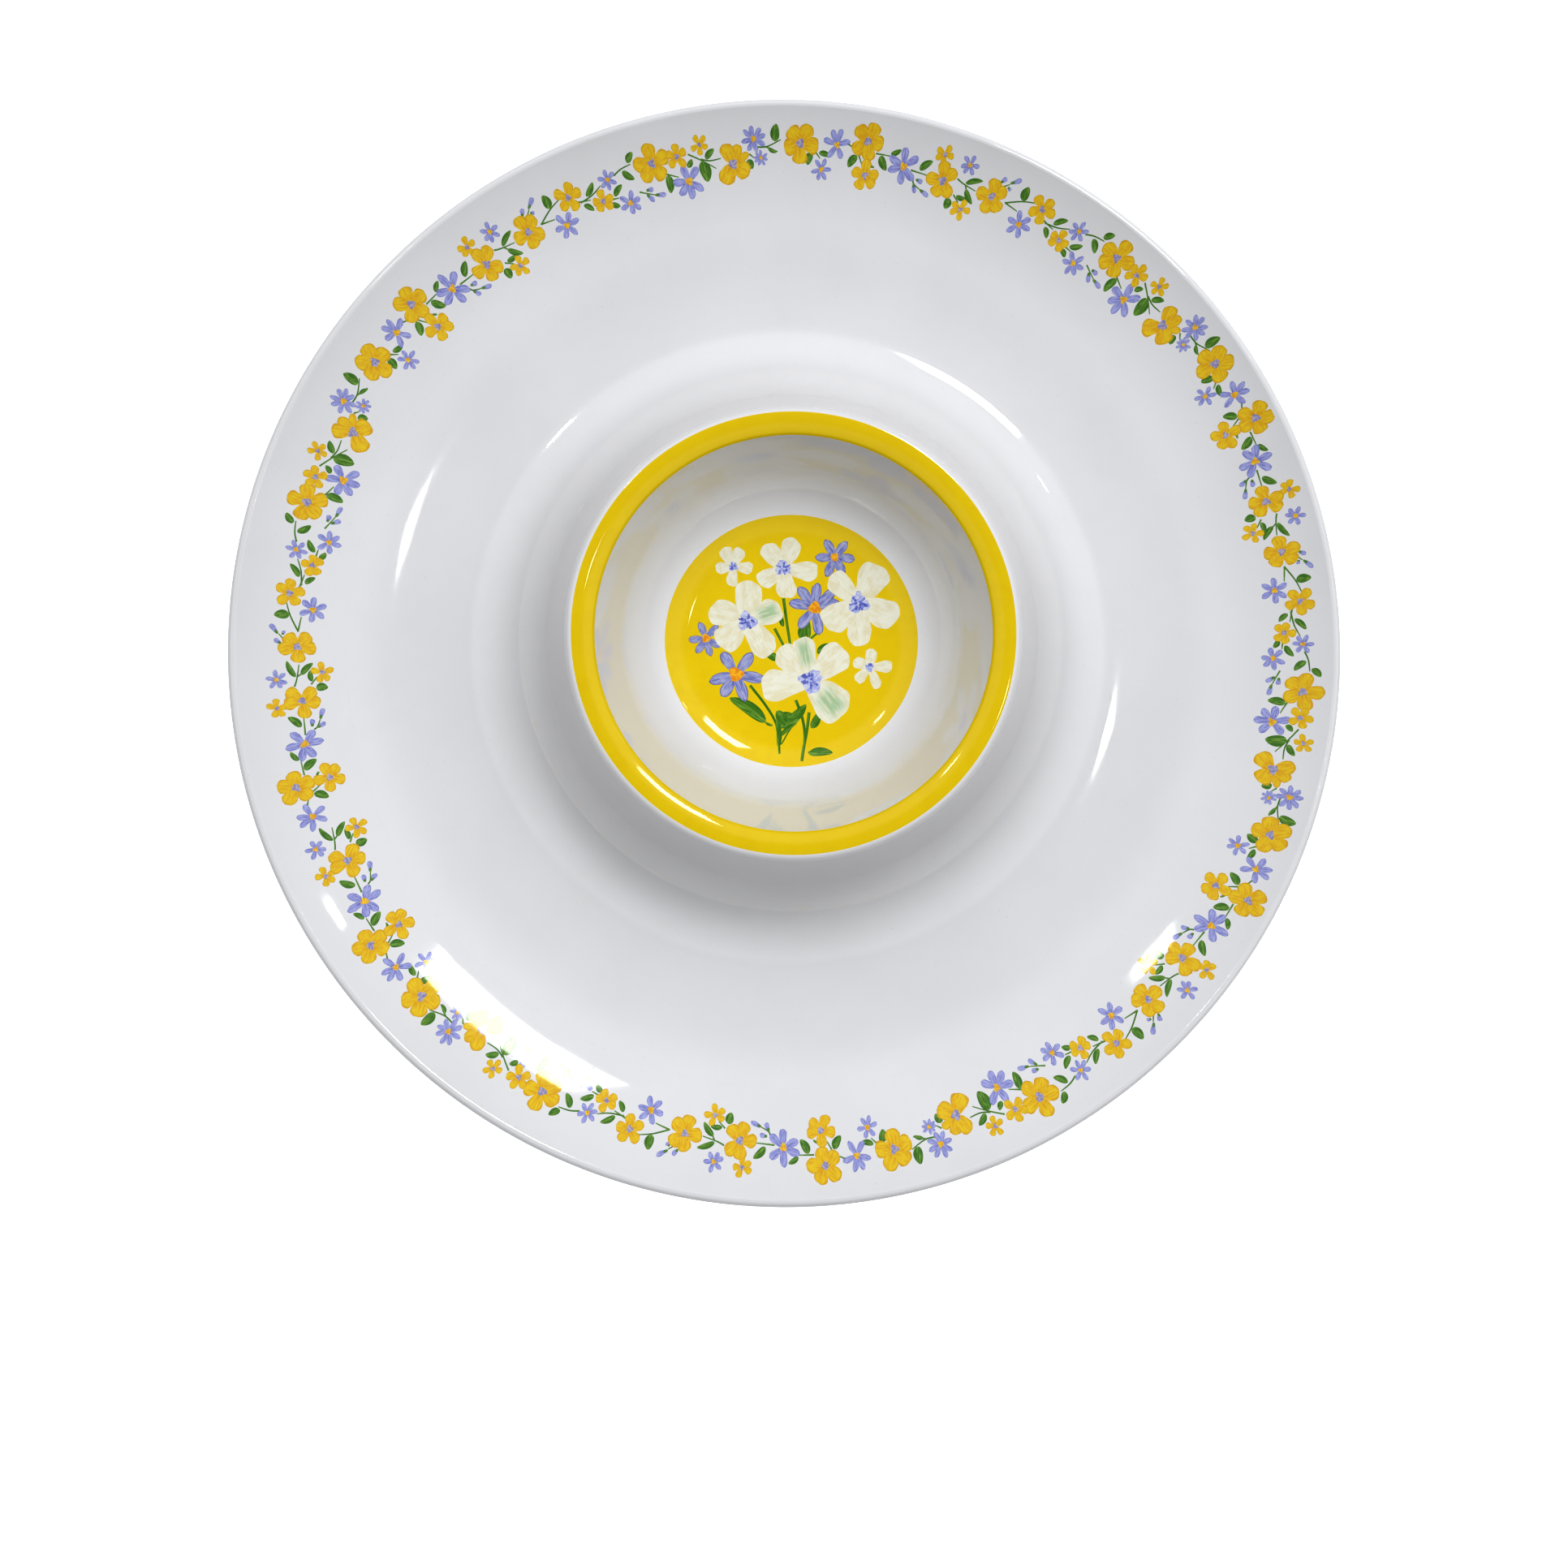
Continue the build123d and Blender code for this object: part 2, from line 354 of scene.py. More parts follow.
    def hollow_crown(self):
        """Centre of the round at the hollow's top, tangent to the backs of both walls."""
        tilt = math.radians(90 - self.PEDESTAL_SLOPE)
        slope = math.radians(self.BOWL_WALL)
        side = (math.cos(tilt), math.sin(tilt))
        bowl = (math.sin(slope), -math.cos(slope))
        side_off = self.shoulder[0] * side[0] + self.shoulder[1] * side[1]
        side_off += self.SHOULDER_R - self.wall - self.HOLLOW_TOP_R
        bowl_off = self.inner[0] * bowl[0] + self.inner[1] * bowl[1]
        bowl_off += -self.RIM_INNER_R + self.wall + self.HOLLOW_TOP_R
        spread = side[0] * bowl[1] - side[1] * bowl[0]
        return (
            (side_off * bowl[1] - bowl_off * side[1]) / spread,
            (bowl_off * side[0] - side_off * bowl[0]) / spread,
        )

    def on_slope(self, radius):
        """Height and outward tilt of the dish's surface at these distances from the axis."""
        out = (radius - self.dish[0]) / self.dish_r
        up = np.sqrt(1 - out**2)
        return self.dish[1] - self.dish_r * up, -out, up

    def on_floor(self, radius):
        """Height and outward tilt of the bowl's floor at these distances from the axis."""
        out = np.maximum(radius - self.floor_r, 0) / self.corner_r
        up = np.sqrt(1 - out**2)
        return self.corner[1] - self.corner_r * up, -out, up


# ------------------------------------------------------------------ meshes

# Radius below which a point counts as being on the axis, in millimetres
ON_AXIS = 1e-6


def finished(name, verts, faces, normals, material, node):
    """A mesh piece with these corner normals, riding on the body in place of a CAD node."""
    mesh = bpy.data.meshes.new(name)
    mesh.from_pydata(verts, [], faces)
    mesh.shade_smooth()
    mesh.normals_split_custom_set(normals)
    piece = bpy.data.objects.new(name, mesh)
    bpy.context.scene.collection.objects.link(piece)
    mesh.materials.append(material)
    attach(piece, BODY)
    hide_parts(node)
    return piece


def turned(name, runs, around, closed, material, node):
    """The piece made by turning section runs about the axis; closed for a ring."""
    ring_start, verts, faces, normals = [], [], [], []
    angles = [2 * math.pi * j / around for j in range(around)]
    turn = [(math.cos(a), math.sin(a)) for a in angles]

    def add_ring(r, z):
        ring_start.append((len(verts), r > ON_AXIS))
        if r > ON_AXIS:
            verts.extend((r * c * MM, r * s * MM, z * MM) for c, s in turn)
        else:
            verts.append((0.0, 0.0, z * MM))
        return len(ring_start) - 1

    def corner(ring, j):
        start, round_ring = ring_start[ring]
        return start + (j % around if round_ring else 0)

    def pointing(nr, nz, j):
        c, s = turn[j % around]
        return (nr * c, nr * s, nz)

    last = None
    first = None
    for number, run in enumerate(runs):
        for i, (r, z, nr, nz) in enumerate(run):
            if i == 0:
                if last is None:
                    last = first = add_ring(r, z)
                before = (nr, nz)
                continue
            ends_loop = closed and number == len(runs) - 1 and i == len(run) - 1
            ring = first if ends_loop else add_ring(r, z)
            for j in range(around):
                now = (nr, nz)
                loop = (
                    (last, j, before), (ring, j, now), (ring, j + 1, now), (last, j + 1, before)
                )
                picked, used = [], set()
                for at, k, normal in loop:
                    v = corner(at, k)
                    if v not in used:
                        used.add(v)
                        picked.append((v, pointing(*normal, k)))
                faces.append([v for v, _ in picked])
                normals.extend(n for _, n in picked)
            last, before = ring, (nr, nz)
    return finished(name, verts, faces, normals, material, node)

# ------------------------------------------------------------------ artwork

# The bare film, then the inks
FILM = "film"
LEAF, LILAC, YELLOW, WHITE = "leaf", "lilac", "yellow", "white"
VIOLET_DAB, ORANGE_DAB, WASH = "violet_dab", "orange_dab", "wash"

# How far out along a petal it is widest
PETAL_WAIST = 0.6
# Plain shapes get a random number up to PLAIN; a petal with a green wash gets GREEN_WASHED
PLAIN, GREEN_WASHED = 0.8, 1.0
# Points closer than this are one, in millimetres
SAME_POINT = 1e-5


class Art:
    """Flat shapes in paint order. Each has an outline, an ink and its own length and width axes."""

    def __init__(self, seed):
        self.shapes = []
        self.random = random.Random(seed)

    def add(self, ink, outline, origin, along, length, width, number=None):
        size = math.hypot(*along)
        axis = (along[0] / size, along[1] / size)
        if signed_area(outline) < 0:
            outline = outline[::-1]
        if number is None:
            number = self.random.uniform(0.0, PLAIN)
        self.shapes.append((ink, outline, origin, axis, length, width / 2, number))

    def petal(
        self, ink, centre, direction, length, width, egg=0.32, point=1.0, wobble=0.05, points=18,
        number=None,
    ):
        """A petal from the flower's centre outwards, broad towards its tip."""
        waist = PETAL_WAIST
        outline = []
        phase = self.random.uniform(0, 2 * math.pi)
        for i in range(points):
            t = 2 * math.pi * (i + 0.5) / points
            c, s = math.cos(t), math.sin(t)
            reach = (1 - waist) if c > 0 else waist
            edge = 1 + wobble * math.sin(3 * t + phase)
            edge += 0.5 * wobble * math.sin(7 * t + 2 * phase)
            u = waist + reach * c * edge
            v = math.copysign(abs(s) ** point, s) * (1 + egg * c) * edge
            outline.append((u * length, v * width / 2))
        self.place(ink, outline, centre, direction, length, width, number)

    def leaf(self, ink, base, tip, width, bend=0.12, points=16):
        """A leaf pointed at both ends, slightly bent to one side."""
        length = math.dist(base, tip)
        side = self.random.choice((-1, 1)) * bend
        outline = []
        for i in range(points):
            t = 2 * math.pi * i / points
            u = 0.5 - 0.5 * math.cos(t)
            half = math.copysign(abs(math.sin(t)) ** 1.15, math.sin(t)) * (1 - 0.35 * (u - 0.4))
            bow = side * math.sin(math.pi * u) * length * 0.5
            outline.append((u * length, half * width / 2 + bow))
        direction = (tip[0] - base[0], tip[1] - base[1])
        self.place(ink, outline, base, direction, length, width)

    def blob(self, ink, centre, radius, points=14, rough=0.22):
        """An irregular round dab."""
        phase = self.random.uniform(0, 2 * math.pi)
        outline = []
        for i in range(points):
            t = 2 * math.pi * i / points
            waves = math.sin(3 * t + phase) + self.random.uniform(-1, 1)
            r = radius * (1 + 0.6 * rough * waves)
            outline.append((r * math.cos(t), r * math.sin(t)))
        self.place(ink, outline, centre, (math.cos(phase), math.sin(phase)), radius, 2 * radius)

    def stroke(self, ink, path, width, taper=0.6):
        """A brush stroke along a path, thinner towards its end."""
        left, right = [], []
        for i, p in enumerate(path):
            a = path[max(i - 1, 0)]
            b = path[min(i + 1, len(path) - 1)]
            d = math.dist(a, b)
            across = (-(b[1] - a[1]) / d, (b[0] - a[0]) / d)
            half = width / 2 * (1 - (1 - taper) * i / (len(path) - 1))
            left.append((p[0] + across[0] * half, p[1] + across[1] * half))
            right.append((p[0] - across[0] * half, p[1] - across[1] * half))
        along = (path[-1][0] - path[0][0], path[-1][1] - path[0][1])
        self.add(ink, left + right[::-1], path[0], along, math.hypot(*along), width)

    def place(self, ink, outline, origin, direction, length, width, number=None):
        size = math.hypot(*direction)
        c, s = direction[0] / size, direction[1] / size
        moved = [(origin[0] + u * c - v * s, origin[1] + u * s + v * c) for u, v in outline]
        self.add(ink, moved, origin, direction, length, width, number)


def signed_area(outline):
    """Area of an outline, positive when it runs anticlockwise."""
    return 0.5 * sum(
        a[0] * b[1] - b[0] * a[1] for a, b in zip(outline, outline[1:] + outline[:1])
    )


def between(a, b, c, d, t):
    """A number part of the way from b to c on a smooth curve through a, b, c and d."""
    bend = (2 * a - 5 * b + 4 * c - d) * t**2
    twist = (3 * b - a - 3 * c + d) * t**3
    return 0.5 * (2 * b + (c - a) * t + bend + twist)


def smooth_path(points, steps=4):
    """More points on a smooth curve through a few."""
    if len(points) < 3:
        a, b = points
        return [
            (a[0] + (b[0] - a[0]) * i / steps, a[1] + (b[1] - a[1]) * i / steps)
            for i in range(steps + 1)
        ]
    ends = [points[0], *points, points[-1]]
    path = []
    for p, q, r, s in zip(ends, ends[1:], ends[2:], ends[3:]):
        for i in range(steps):
            t = i / steps
            path.append(tuple(between(*near, t) for near in zip(p, q, r, s)))
    return [*path, points[-1]]


def circle(radius, points):
    """Points round a circle about the axis, anticlockwise."""
    return [
        (radius * math.cos(2 * math.pi * i / points), radius * math.sin(2 * math.pi * i / points))
        for i in range(points)
    ]


def cut_up(art, outer, inner, grid):
    """Cuts a disc or ring into triangles along every outline of the art.

    Returns the points, the triangles, and for each triangle the number of the shape on top,
    or None for the bare film."""
    points = [Vector(p) for p in outer]
    rings = [list(range(len(outer)))]
    if inner:
        rings.append(list(range(len(points), len(points) + len(inner))))
        points += [Vector(p) for p in inner]
    bare = len(rings)
    for _, outline, *_ in art.shapes:
        rings.append(list(range(len(points), len(points) + len(outline))))
        points += [Vector(p) for p in outline]
    points += [Vector(p) for p in grid]
    inside = 1
    made, _, faces, _, _, sources = delaunay_2d_cdt(points, [], rings, inside, SAME_POINT, True)
    triangles, tops = [], []
    for face, source in zip(faces, sources):
        if 0 not in source or (inner and 1 in source):
            continue
        triangles.append(tuple(face))
        top = max(source)
        tops.append(top - bare if top >= bare else None)
    return np.array([tuple(p) for p in made], float), np.array(triangles, int), tops


def film_pieces(art, cut, surface, thickness, inks, node):
    """One closed thin piece for the film and for each ink, all flush, from the cut-up plan."""
    plan, triangles, tops = cut
    radius = np.hypot(plan[:, 0], plan[:, 1])
    height, out, up = surface(radius)
    spoke = plan / np.maximum(radius, ON_AXIS)[:, None]
    normal = np.column_stack([spoke * out[:, None], up])
    upper = np.column_stack([plan, height])
    lower = upper - normal * thickness
    groups = {}
    for number, top in enumerate(tops):
        ink = FILM if top is None else art.shapes[top][0]
        groups.setdefault(ink, []).append(number)
    pieces = {}
    for ink, (name, material) in inks.items():
        rows = groups.get(ink, [])
        if not rows:
            raise RuntimeError(f"nothing is printed in {ink}")
        edge_of = {}
        for row in rows:
            a, b, c = triangles[row]
            for edge in ((a, b), (b, c), (c, a)):
                edge_of[edge] = row
        rim = [(edge, row) for edge, row in edge_of.items() if (edge[1], edge[0]) not in edge_of]
        used = sorted({v for row in rows for v in triangles[row]})
        index = {v: i for i, v in enumerate(used)}
        count = len(used)
        verts = [tuple(p) for p in upper[used] * MM] + [tuple(p) for p in lower[used] * MM]
        faces, normals, owners, at = [], [], [], []
        for row in rows:
            a, b, c = (int(v) for v in triangles[row])
            faces.append((index[a], index[b], index[c]))
            normals += [tuple(normal[v]) for v in (a, b, c)]
            faces.append((count + index[a], count + index[c], count + index[b]))
            normals += [tuple(-normal[v]) for v in (a, c, b)]
            owners += [tops[row]] * 6
            at += [a, b, c, a, c, b]
        for (a, b), row in rim:
            a, b = int(a), int(b)
            side = np.cross(upper[b] - upper[a], normal[a])
            side = tuple(side / max(np.linalg.norm(side), 1e-9))
            faces.append((index[b], index[a], count + index[a], count + index[b]))
            normals += [side] * 4
            owners += [tops[row]] * 4
            at += [b, a, a, b]
        piece = finished(name, verts, faces, normals, material, node)
        if ink != FILM:
            petal = piece.data.attributes.new("petal", "FLOAT_VECTOR", "CORNER")
            petal.data.foreach_set("vector", own_places(art, owners, plan[at]).ravel())
        pieces[ink] = piece
    return pieces


def own_places(art, owners, places):
    """Where each corner lies in its own shape: along it, across it, and the shape's number."""
    rows = np.array(
        [(*art.shapes[o][2], *art.shapes[o][3], *art.shapes[o][4:7]) for o in owners], float
    )
    away = places - rows[:, 0:2]
    along = (away * rows[:, 2:4]).sum(1) / rows[:, 4]
    across = (away[:, 1] * rows[:, 2] - away[:, 0] * rows[:, 3]) / rows[:, 5]
    return np.column_stack([along, across, rows[:, 6]]).astype(np.float32)


# ------------------------------------------------------------------ materials

MELAMINE_IOR = 1.58
# Specular levels of the bare melamine and of the printed film
BARE_SHEEN = 0.5
INK_SHEEN = 0.34
# Scales of the noise textures, in waves per metre
CLOUDS, SMEARS, RIPPLES, SPECKS = 22.0, 35.0, 750.0, 900.0
MOTTLES, PATCHES = 160.0, 24.0
RIPPLE_DEPTH = 1.2e-6
SPECK_COLOUR = (0.45, 0.43, 0.40)
# What the deep mottle of the yellow ground leaves of red, green and blue
MOTTLE_TINT = (0.97, 0.945, 0.9)
# Slots of the Mix node's colour inputs and output
MIX_A, MIX_B, MIX_RESULT = 6, 7, 2


class Nodes:
    """Short names for building a material's node tree."""

    def __init__(self, name):
        self.material = bpy.data.materials.new(name)
        self.material.use_nodes = True
        self.tree = self.material.node_tree
        self.shader = next(n for n in self.tree.nodes if n.type == "BSDF_PRINCIPLED")

    def add(self, kind, **values):
        node = self.tree.nodes.new(kind)
        for key, value in values.items():
            setattr(node, key, value)
        return node

    def link(self, source, target):
        self.tree.links.new(source, target)

    def put(self, value, target):
        """Links a socket, or sets a constant."""
        if isinstance(value, bpy.types.NodeSocket):
            self.link(value, target)
        else:
            target.default_value = value

    def math(self, operation, a, b=0.0, c=0.0, clamp=False):
        node = self.add("ShaderNodeMath", operation=operation, use_clamp=clamp)
        for value, target in zip((a, b, c), node.inputs):
            self.put(value, target)
        return node.outputs[0]

    def ramp(self, value, low, high, to_low=0.0, to_high=1.0):
        node = self.add("ShaderNodeMapRange", interpolation_type="SMOOTHSTEP")
        for v, target in zip((value, low, high, to_low, to_high), node.inputs):
            self.put(v, target)
        return node.outputs[0]

    def noise(self, where, scale, detail=2.0, roughness=0.5):
        node = self.add("ShaderNodeTexNoise")
        self.put(where, node.inputs["Vector"])
        node.inputs["Scale"].default_value = scale
        node.inputs["Detail"].default_value = detail
        node.inputs["Roughness"].default_value = roughness
        return node.outputs["Fac"]

    def blend(self, factor, a, b):
        node = self.add("ShaderNodeMix", data_type="RGBA")
        self.put(factor, node.inputs["Factor"])
        for value, target in ((a, node.inputs[MIX_A]), (b, node.inputs[MIX_B])):
            self.put(rgba(value), target)
        return node.outputs[MIX_RESULT]

    def places(self):
        return self.add("ShaderNodeTexCoord").outputs["Object"]

    def vector(self, x, y, z):
        node = self.add("ShaderNodeCombineXYZ")
        for value, target in zip((x, y, z), node.inputs):
            self.put(value, target)
        return node.outputs[0]

    def gloss(self, polish, where, sheen=BARE_SHEEN):
        """Polished melamine: sharp reflections with a faint ripple, and slightly uneven polish."""
        self.shader.inputs["IOR"].default_value = MELAMINE_IOR
        self.shader.inputs["Specular IOR Level"].default_value = sheen
        smear = self.noise(where, SMEARS, 3.0, 0.6)
        uneven = self.ramp(smear, 0.3, 0.75, polish * 0.8, polish * 1.5)
        self.link(uneven, self.shader.inputs["Roughness"])
        bump = self.add("ShaderNodeBump")
        bump.inputs["Strength"].default_value = 1.0
        bump.inputs["Distance"].default_value = RIPPLE_DEPTH
        self.link(self.noise(where, RIPPLES, 2.0, 0.55), bump.inputs["Height"])
        self.link(bump.outputs[0], self.shader.inputs["Normal"])

    def colour(self, value):
        self.put(value, self.shader.inputs["Base Color"])


def rgba(value):
    """A colour with its alpha, or the socket as it is."""
    if isinstance(value, bpy.types.NodeSocket):
        return value
    return (*tuple(value)[:3], 1.0)


def moulded_white(name, look):
    """White melamine: a faint cloud in the colour and the odd fine speck of the resin."""
    n = Nodes(name)
    where = n.places()
    cloud = n.ramp(n.noise(where, CLOUDS, 4.0, 0.6), 0.35, 0.7)
    body = n.blend(cloud, look.white, look.cream)
    specks = n.ramp(n.noise(where, SPECKS, 1.0, 0.5), 0.765, 0.80, 0.0, 0.16)
    n.colour(n.blend(specks, body, SPECK_COLOUR))
    n.gloss(look.polish, where)
    return n.material


def ground_ink(name, colour, polish):
    """An even printed yellow with the mottle of a pressed film."""
    n = Nodes(name)
    where = n.places()
    mottle = n.ramp(n.noise(where, MOTTLES, 4.0, 0.65), 0.3, 0.75)
    deep = tuple(c * k for c, k in zip(colour, MOTTLE_TINT))
    patch = n.ramp(n.noise(where, PATCHES, 2.0, 0.5), 0.35, 0.7, 0.0, 0.5)
    n.colour(n.blend(patch, n.blend(mottle, colour, deep), deep))
    n.gloss(polish, where, INK_SHEEN)
    return n.material


def petal_axes(n):
    """Along, across and the random number of the petal that a point lies in."""
    attribute = n.add("ShaderNodeAttribute", attribute_name="petal")
    split = n.add("ShaderNodeSeparateXYZ")
    n.link(attribute.outputs["Vector"], split.inputs[0])
    return split.outputs


def painted(name, light, deep, polish, *, root=0.5, streak=0.5, fine=2.6, wash=None, wash_share=0.0,
            green=None, edge=None, edge_share=0.0):
    """Brush-painted ink: deeper towards the petal's root, in streaks that run along it."""
    n = Nodes(name)
    where = n.places()
    along, across, number = petal_axes(n)
    seed = n.math("MULTIPLY", number, 41.0)
    stroke_at = n.vector(n.math("MULTIPLY", along, 1.3), n.math("MULTIPLY", across, fine), seed)
    streaks = n.ramp(n.noise(stroke_at, 1.7, 3.0, 0.62), 0.42, 0.62)
    patch_at = n.vector(along, n.math("MULTIPLY", across, 0.6), n.math("ADD", seed, 9.0))
    patches = n.noise(patch_at, 2.4, 1.0, 0.5)
    near_root = n.math("MULTIPLY", n.ramp(along, 0.8, 0.1), n.ramp(streaks, 0.0, 0.6, 0.6, 1.0))
    mask = n.math("MULTIPLY_ADD", near_root, root, n.math("MULTIPLY", streaks, streak))
    mask = n.math("ADD", mask, n.ramp(patches, 0.5, 0.72, 0.0, 0.2), clamp=True)
    colour = n.blend(mask, light, deep)
    if wash is not None:
        share = n.math("MULTIPLY", n.ramp(n.noise(patch_at, 3.1, 2.0, 0.6), 0.44, 0.64), wash_share)
        colour = n.blend(share, colour, wash)
    if green is not None:
        chosen = n.ramp(number, PLAIN, GREEN_WASHED)
        middle = n.ramp(n.math("ABSOLUTE", n.math("SUBTRACT", along, 0.62)), 0.42, 0.1)
        spread = n.math("MULTIPLY", middle, n.ramp(n.math("ABSOLUTE", across), 0.95, 0.2))
        broken = n.ramp(n.noise(stroke_at, 2.2, 3.0, 0.6), 0.35, 0.6, 0.35, 0.95)
        spread = n.math("MULTIPLY", spread, broken)
        colour = n.blend(n.math("MULTIPLY", chosen, spread), colour, green)
    if edge is not None:
        ring = n.math("POWER", n.math("ABSOLUTE", across), 2.0)
        reach = n.math("DIVIDE", n.math("SUBTRACT", along, PETAL_WAIST), 1 - PETAL_WAIST)
        tip = n.math("POWER", n.math("MAXIMUM", reach, 0.0), 2.0)
        rim = n.ramp(n.math("ADD", ring, tip), 0.62, 0.95, 0.0, edge_share)
        colour = n.blend(rim, colour, edge)
    n.colour(colour)
    n.gloss(polish, where, INK_SHEEN)
    return n.material


def leafy(name, light, deep, polish):
    """Painted leaf or stem: dark edges, a paler streak down the middle."""
    n = Nodes(name)
    where = n.places()
    along, across, number = petal_axes(n)
    seed = n.math("MULTIPLY", number, 31.0)
    stroke_at = n.vector(n.math("MULTIPLY", along, 1.3), n.math("MULTIPLY", across, 2.2), seed)
    streaks = n.noise(stroke_at, 1.8, 3.0, 0.6)
    middle = n.ramp(n.math("ABSOLUTE", across), 0.75, 0.05)
    mask = n.math("MULTIPLY", n.math("ADD", middle, 0.25), n.ramp(streaks, 0.34, 0.68), clamp=True)
    n.colour(n.blend(mask, deep, light))
    n.gloss(polish, where, INK_SHEEN)
    return n.material


def dabbed(name, light, deep, polish, scale):
    """Short overlapping dabs of a flower's centre."""
    n = Nodes(name)
    where = n.places()
    strokes = n.ramp(n.noise(where, scale, 2.0, 0.6), 0.40, 0.58)
    n.colour(n.blend(strokes, light, deep))
    n.gloss(polish, where, INK_SHEEN)
    return n.material


# ------------------------------------------------------------------ border layout

# One repeat of the border. Angles run clockwise in degrees round the print's centre, radii in
# millimetres. Petal directions are anticlockwise from the way the angles run, outwards being 90.
# Flowers: angle, radius, petal length, petal width, petal directions.
YELLOW_FLOWERS = (
    (-0.17, 164.4, 5.8, 4.4, (350, 60, 131, 198, 267)),
    (7.53, 166.5, 5.4, 4.0, (357, 66, 138, 219, 283)),
    (7.75, 156.6, 4.6, 3.0, (10, 90, 170, 244, 317)),
    (16.45, 167.5, 3.0, 1.75, (2, 68, 160, 212, 275)),
    (17.0, 160.2, 5.3, 3.6, (46, 98, 185, 257, 314)),
    (20.2, 153.9, 3.3, 1.8, (7, 75, 160, 215, 285)),
    (23.2, 160.8, 5.2, 3.8, (42, 100, 183, 263, 322)),
    (29.2, 163.9, 4.4, 2.8, (3, 62, 142, 217, 287)),
    (32.75, 158.7, 3.4, 2.3, (4, 85, 165, 222, 308)),
    (39.6, 164.4, 5.9, 4.1, (12, 90, 172, 230, 298)),
    (42.6, 164.4, 3.6, 2.2, (22, 88, 155, 220, 303)),
    (45.4, 166.4, 2.9, 1.6, (45, 114, 198, 265, 336)),
)
# The largest flower has petals of different sizes: direction, length, width.
LARGEST_FLOWER = (
    48.97, 159.5,
    ((25, 6.0, 2.2), (325, 6.0, 5.0), (234, 6.6, 5.0), (66, 5.9, 3.2), (112, 6.4, 4.1)),
)
LILAC_FLOWERS = (
    (4.03, 164.5, 4.4, 1.7, (17, 75, 115, 164, 236, 296)),
    (2.37, 157.0, 3.3, 1.3, (3, 67, 125, 196, 252, 299)),
    (12.08, 161.3, 5.2, 2.2, (37, 94, 160, 205, 273, 320)),
    (19.53, 167.0, 3.0, 1.3, (6, 77, 145, 205, 247, 308)),
    (27.58, 156.9, 4.1, 1.7, (0, 50, 115, 178, 235, 296)),
    (34.17, 164.0, 3.1, 1.3, (29, 90, 157, 210, 261, 323)),
    (35.78, 155.4, 3.6, 1.55, (6, 64, 137, 197, 266, 315)),
    (43.42, 156.6, 5.2, 2.2, (45, 106, 174, 223, 270, 320)),
    (51.62, 166.1, 3.9, 1.45, (12, 49, 101, 140, 189, 239, 281, 331)),
    (52.33, 160.5, 2.3, 0.9, (27, 92, 135, 175, 206, 248, 297, 345)),
)
# Buds: base and tip of each drop.
BUDS = (
    (13.92, 158.4, 14.8, 158.0), (13.75, 156.9, 14.2, 154.4), (14.67, 155.8, 15.92, 154.5),
    (23.53, 165.5, 24.0, 167.45), (24.58, 166.4, 25.63, 168.7), (24.5, 165.2, 24.97, 164.6),
    (38.08, 157.3, 38.97, 157.1), (38.0, 156.2, 38.67, 153.5), (38.92, 155.3, 40.3, 154.5),
)
# Leaves: base, tip, width.
LEAVES = (
    (1.08, 161.9, 0.67, 158.2, 2.0), (2.0, 161.9, 3.4, 161.0, 1.4),
    (6.47, 162.1, 5.58, 158.4, 2.0), (7.25, 160.4, 8.75, 159.4, 0.8),
    (9.25, 163.0, 10.17, 159.0, 2.0), (10.4, 163.9, 11.5, 165.8, 1.3),
    (14.08, 161.4, 15.33, 164.8, 1.8), (18.42, 155.95, 18.37, 152.5, 2.1),
    (19.75, 161.6, 21.58, 164.0, 1.4), (19.17, 157.1, 20.5, 157.3, 1.3),
    (20.0, 160.0, 21.33, 156.5, 1.5), (26.75, 163.5, 26.67, 167.8, 2.3),
    (31.17, 161.9, 32.47, 165.0, 1.5), (30.5, 160.0, 31.37, 157.3, 1.4),
    (34.25, 158.8, 35.53, 161.3, 1.5), (33.6, 157.1, 34.5, 155.5, 1.4),
    (36.08, 164.8, 37.17, 161.5, 1.7), (36.92, 166.6, 37.83, 169.1, 1.7),
    (41.08, 159.8, 40.9, 154.5, 2.1), (43.58, 160.7, 44.25, 162.8, 1.4),
    (45.33, 161.6, 45.67, 155.4, 3.0), (45.83, 162.1, 46.97, 164.6, 1.6),
    (50.75, 160.3, 51.25, 157.5, 1.8), (54.1, 165.0, 54.25, 170.0, 2.4),
    (53.25, 163.2, 54.25, 161.9, 1.0),
)
STEMS = (
    (1.58, 162.1, 2.17, 160.2), (5.33, 165.0, 6.0, 164.1), (6.67, 162.3, 7.17, 159.8),
    (7.33, 160.5, 8.17, 160.0, 8.67, 159.1), (8.67, 163.4, 10.33, 163.4),
    (13.08, 160.7, 15.17, 160.4), (18.67, 162.1, 19.5, 161.3, 21.17, 160.5),
    (18.83, 157.3, 19.67, 155.5), (19.83, 161.0, 20.33, 158.9),
    (24.92, 160.7, 26.67, 163.2, 28.17, 164.6), (25.0, 160.8, 26.67, 160.05),
    (30.0, 161.4, 31.5, 160.5), (30.25, 160.95, 31.83, 161.6, 33.17, 163.2),
    (33.83, 158.2, 34.67, 157.9), (35.0, 164.4, 36.0, 165.5, 37.25, 165.95),
    (40.9, 160.3, 42.3, 158.5), (43.9, 164.4, 45.33, 161.9, 46.9, 158.9),
    (45.25, 162.3, 46.3, 161.4, 47.6, 161.6), (51.0, 161.9, 51.5, 160.7),
    (52.0, 163.7, 53.17, 163.7, 54.75, 165.5), (53.0, 163.6, 54.33, 162.1),
    (13.58, 158.0, 13.83, 156.9, 14.67, 155.8), (23.67, 164.4, 24.0, 164.8, 24.6, 166.2),
    (37.25, 157.5, 37.92, 156.6, 39.0, 155.3),
)
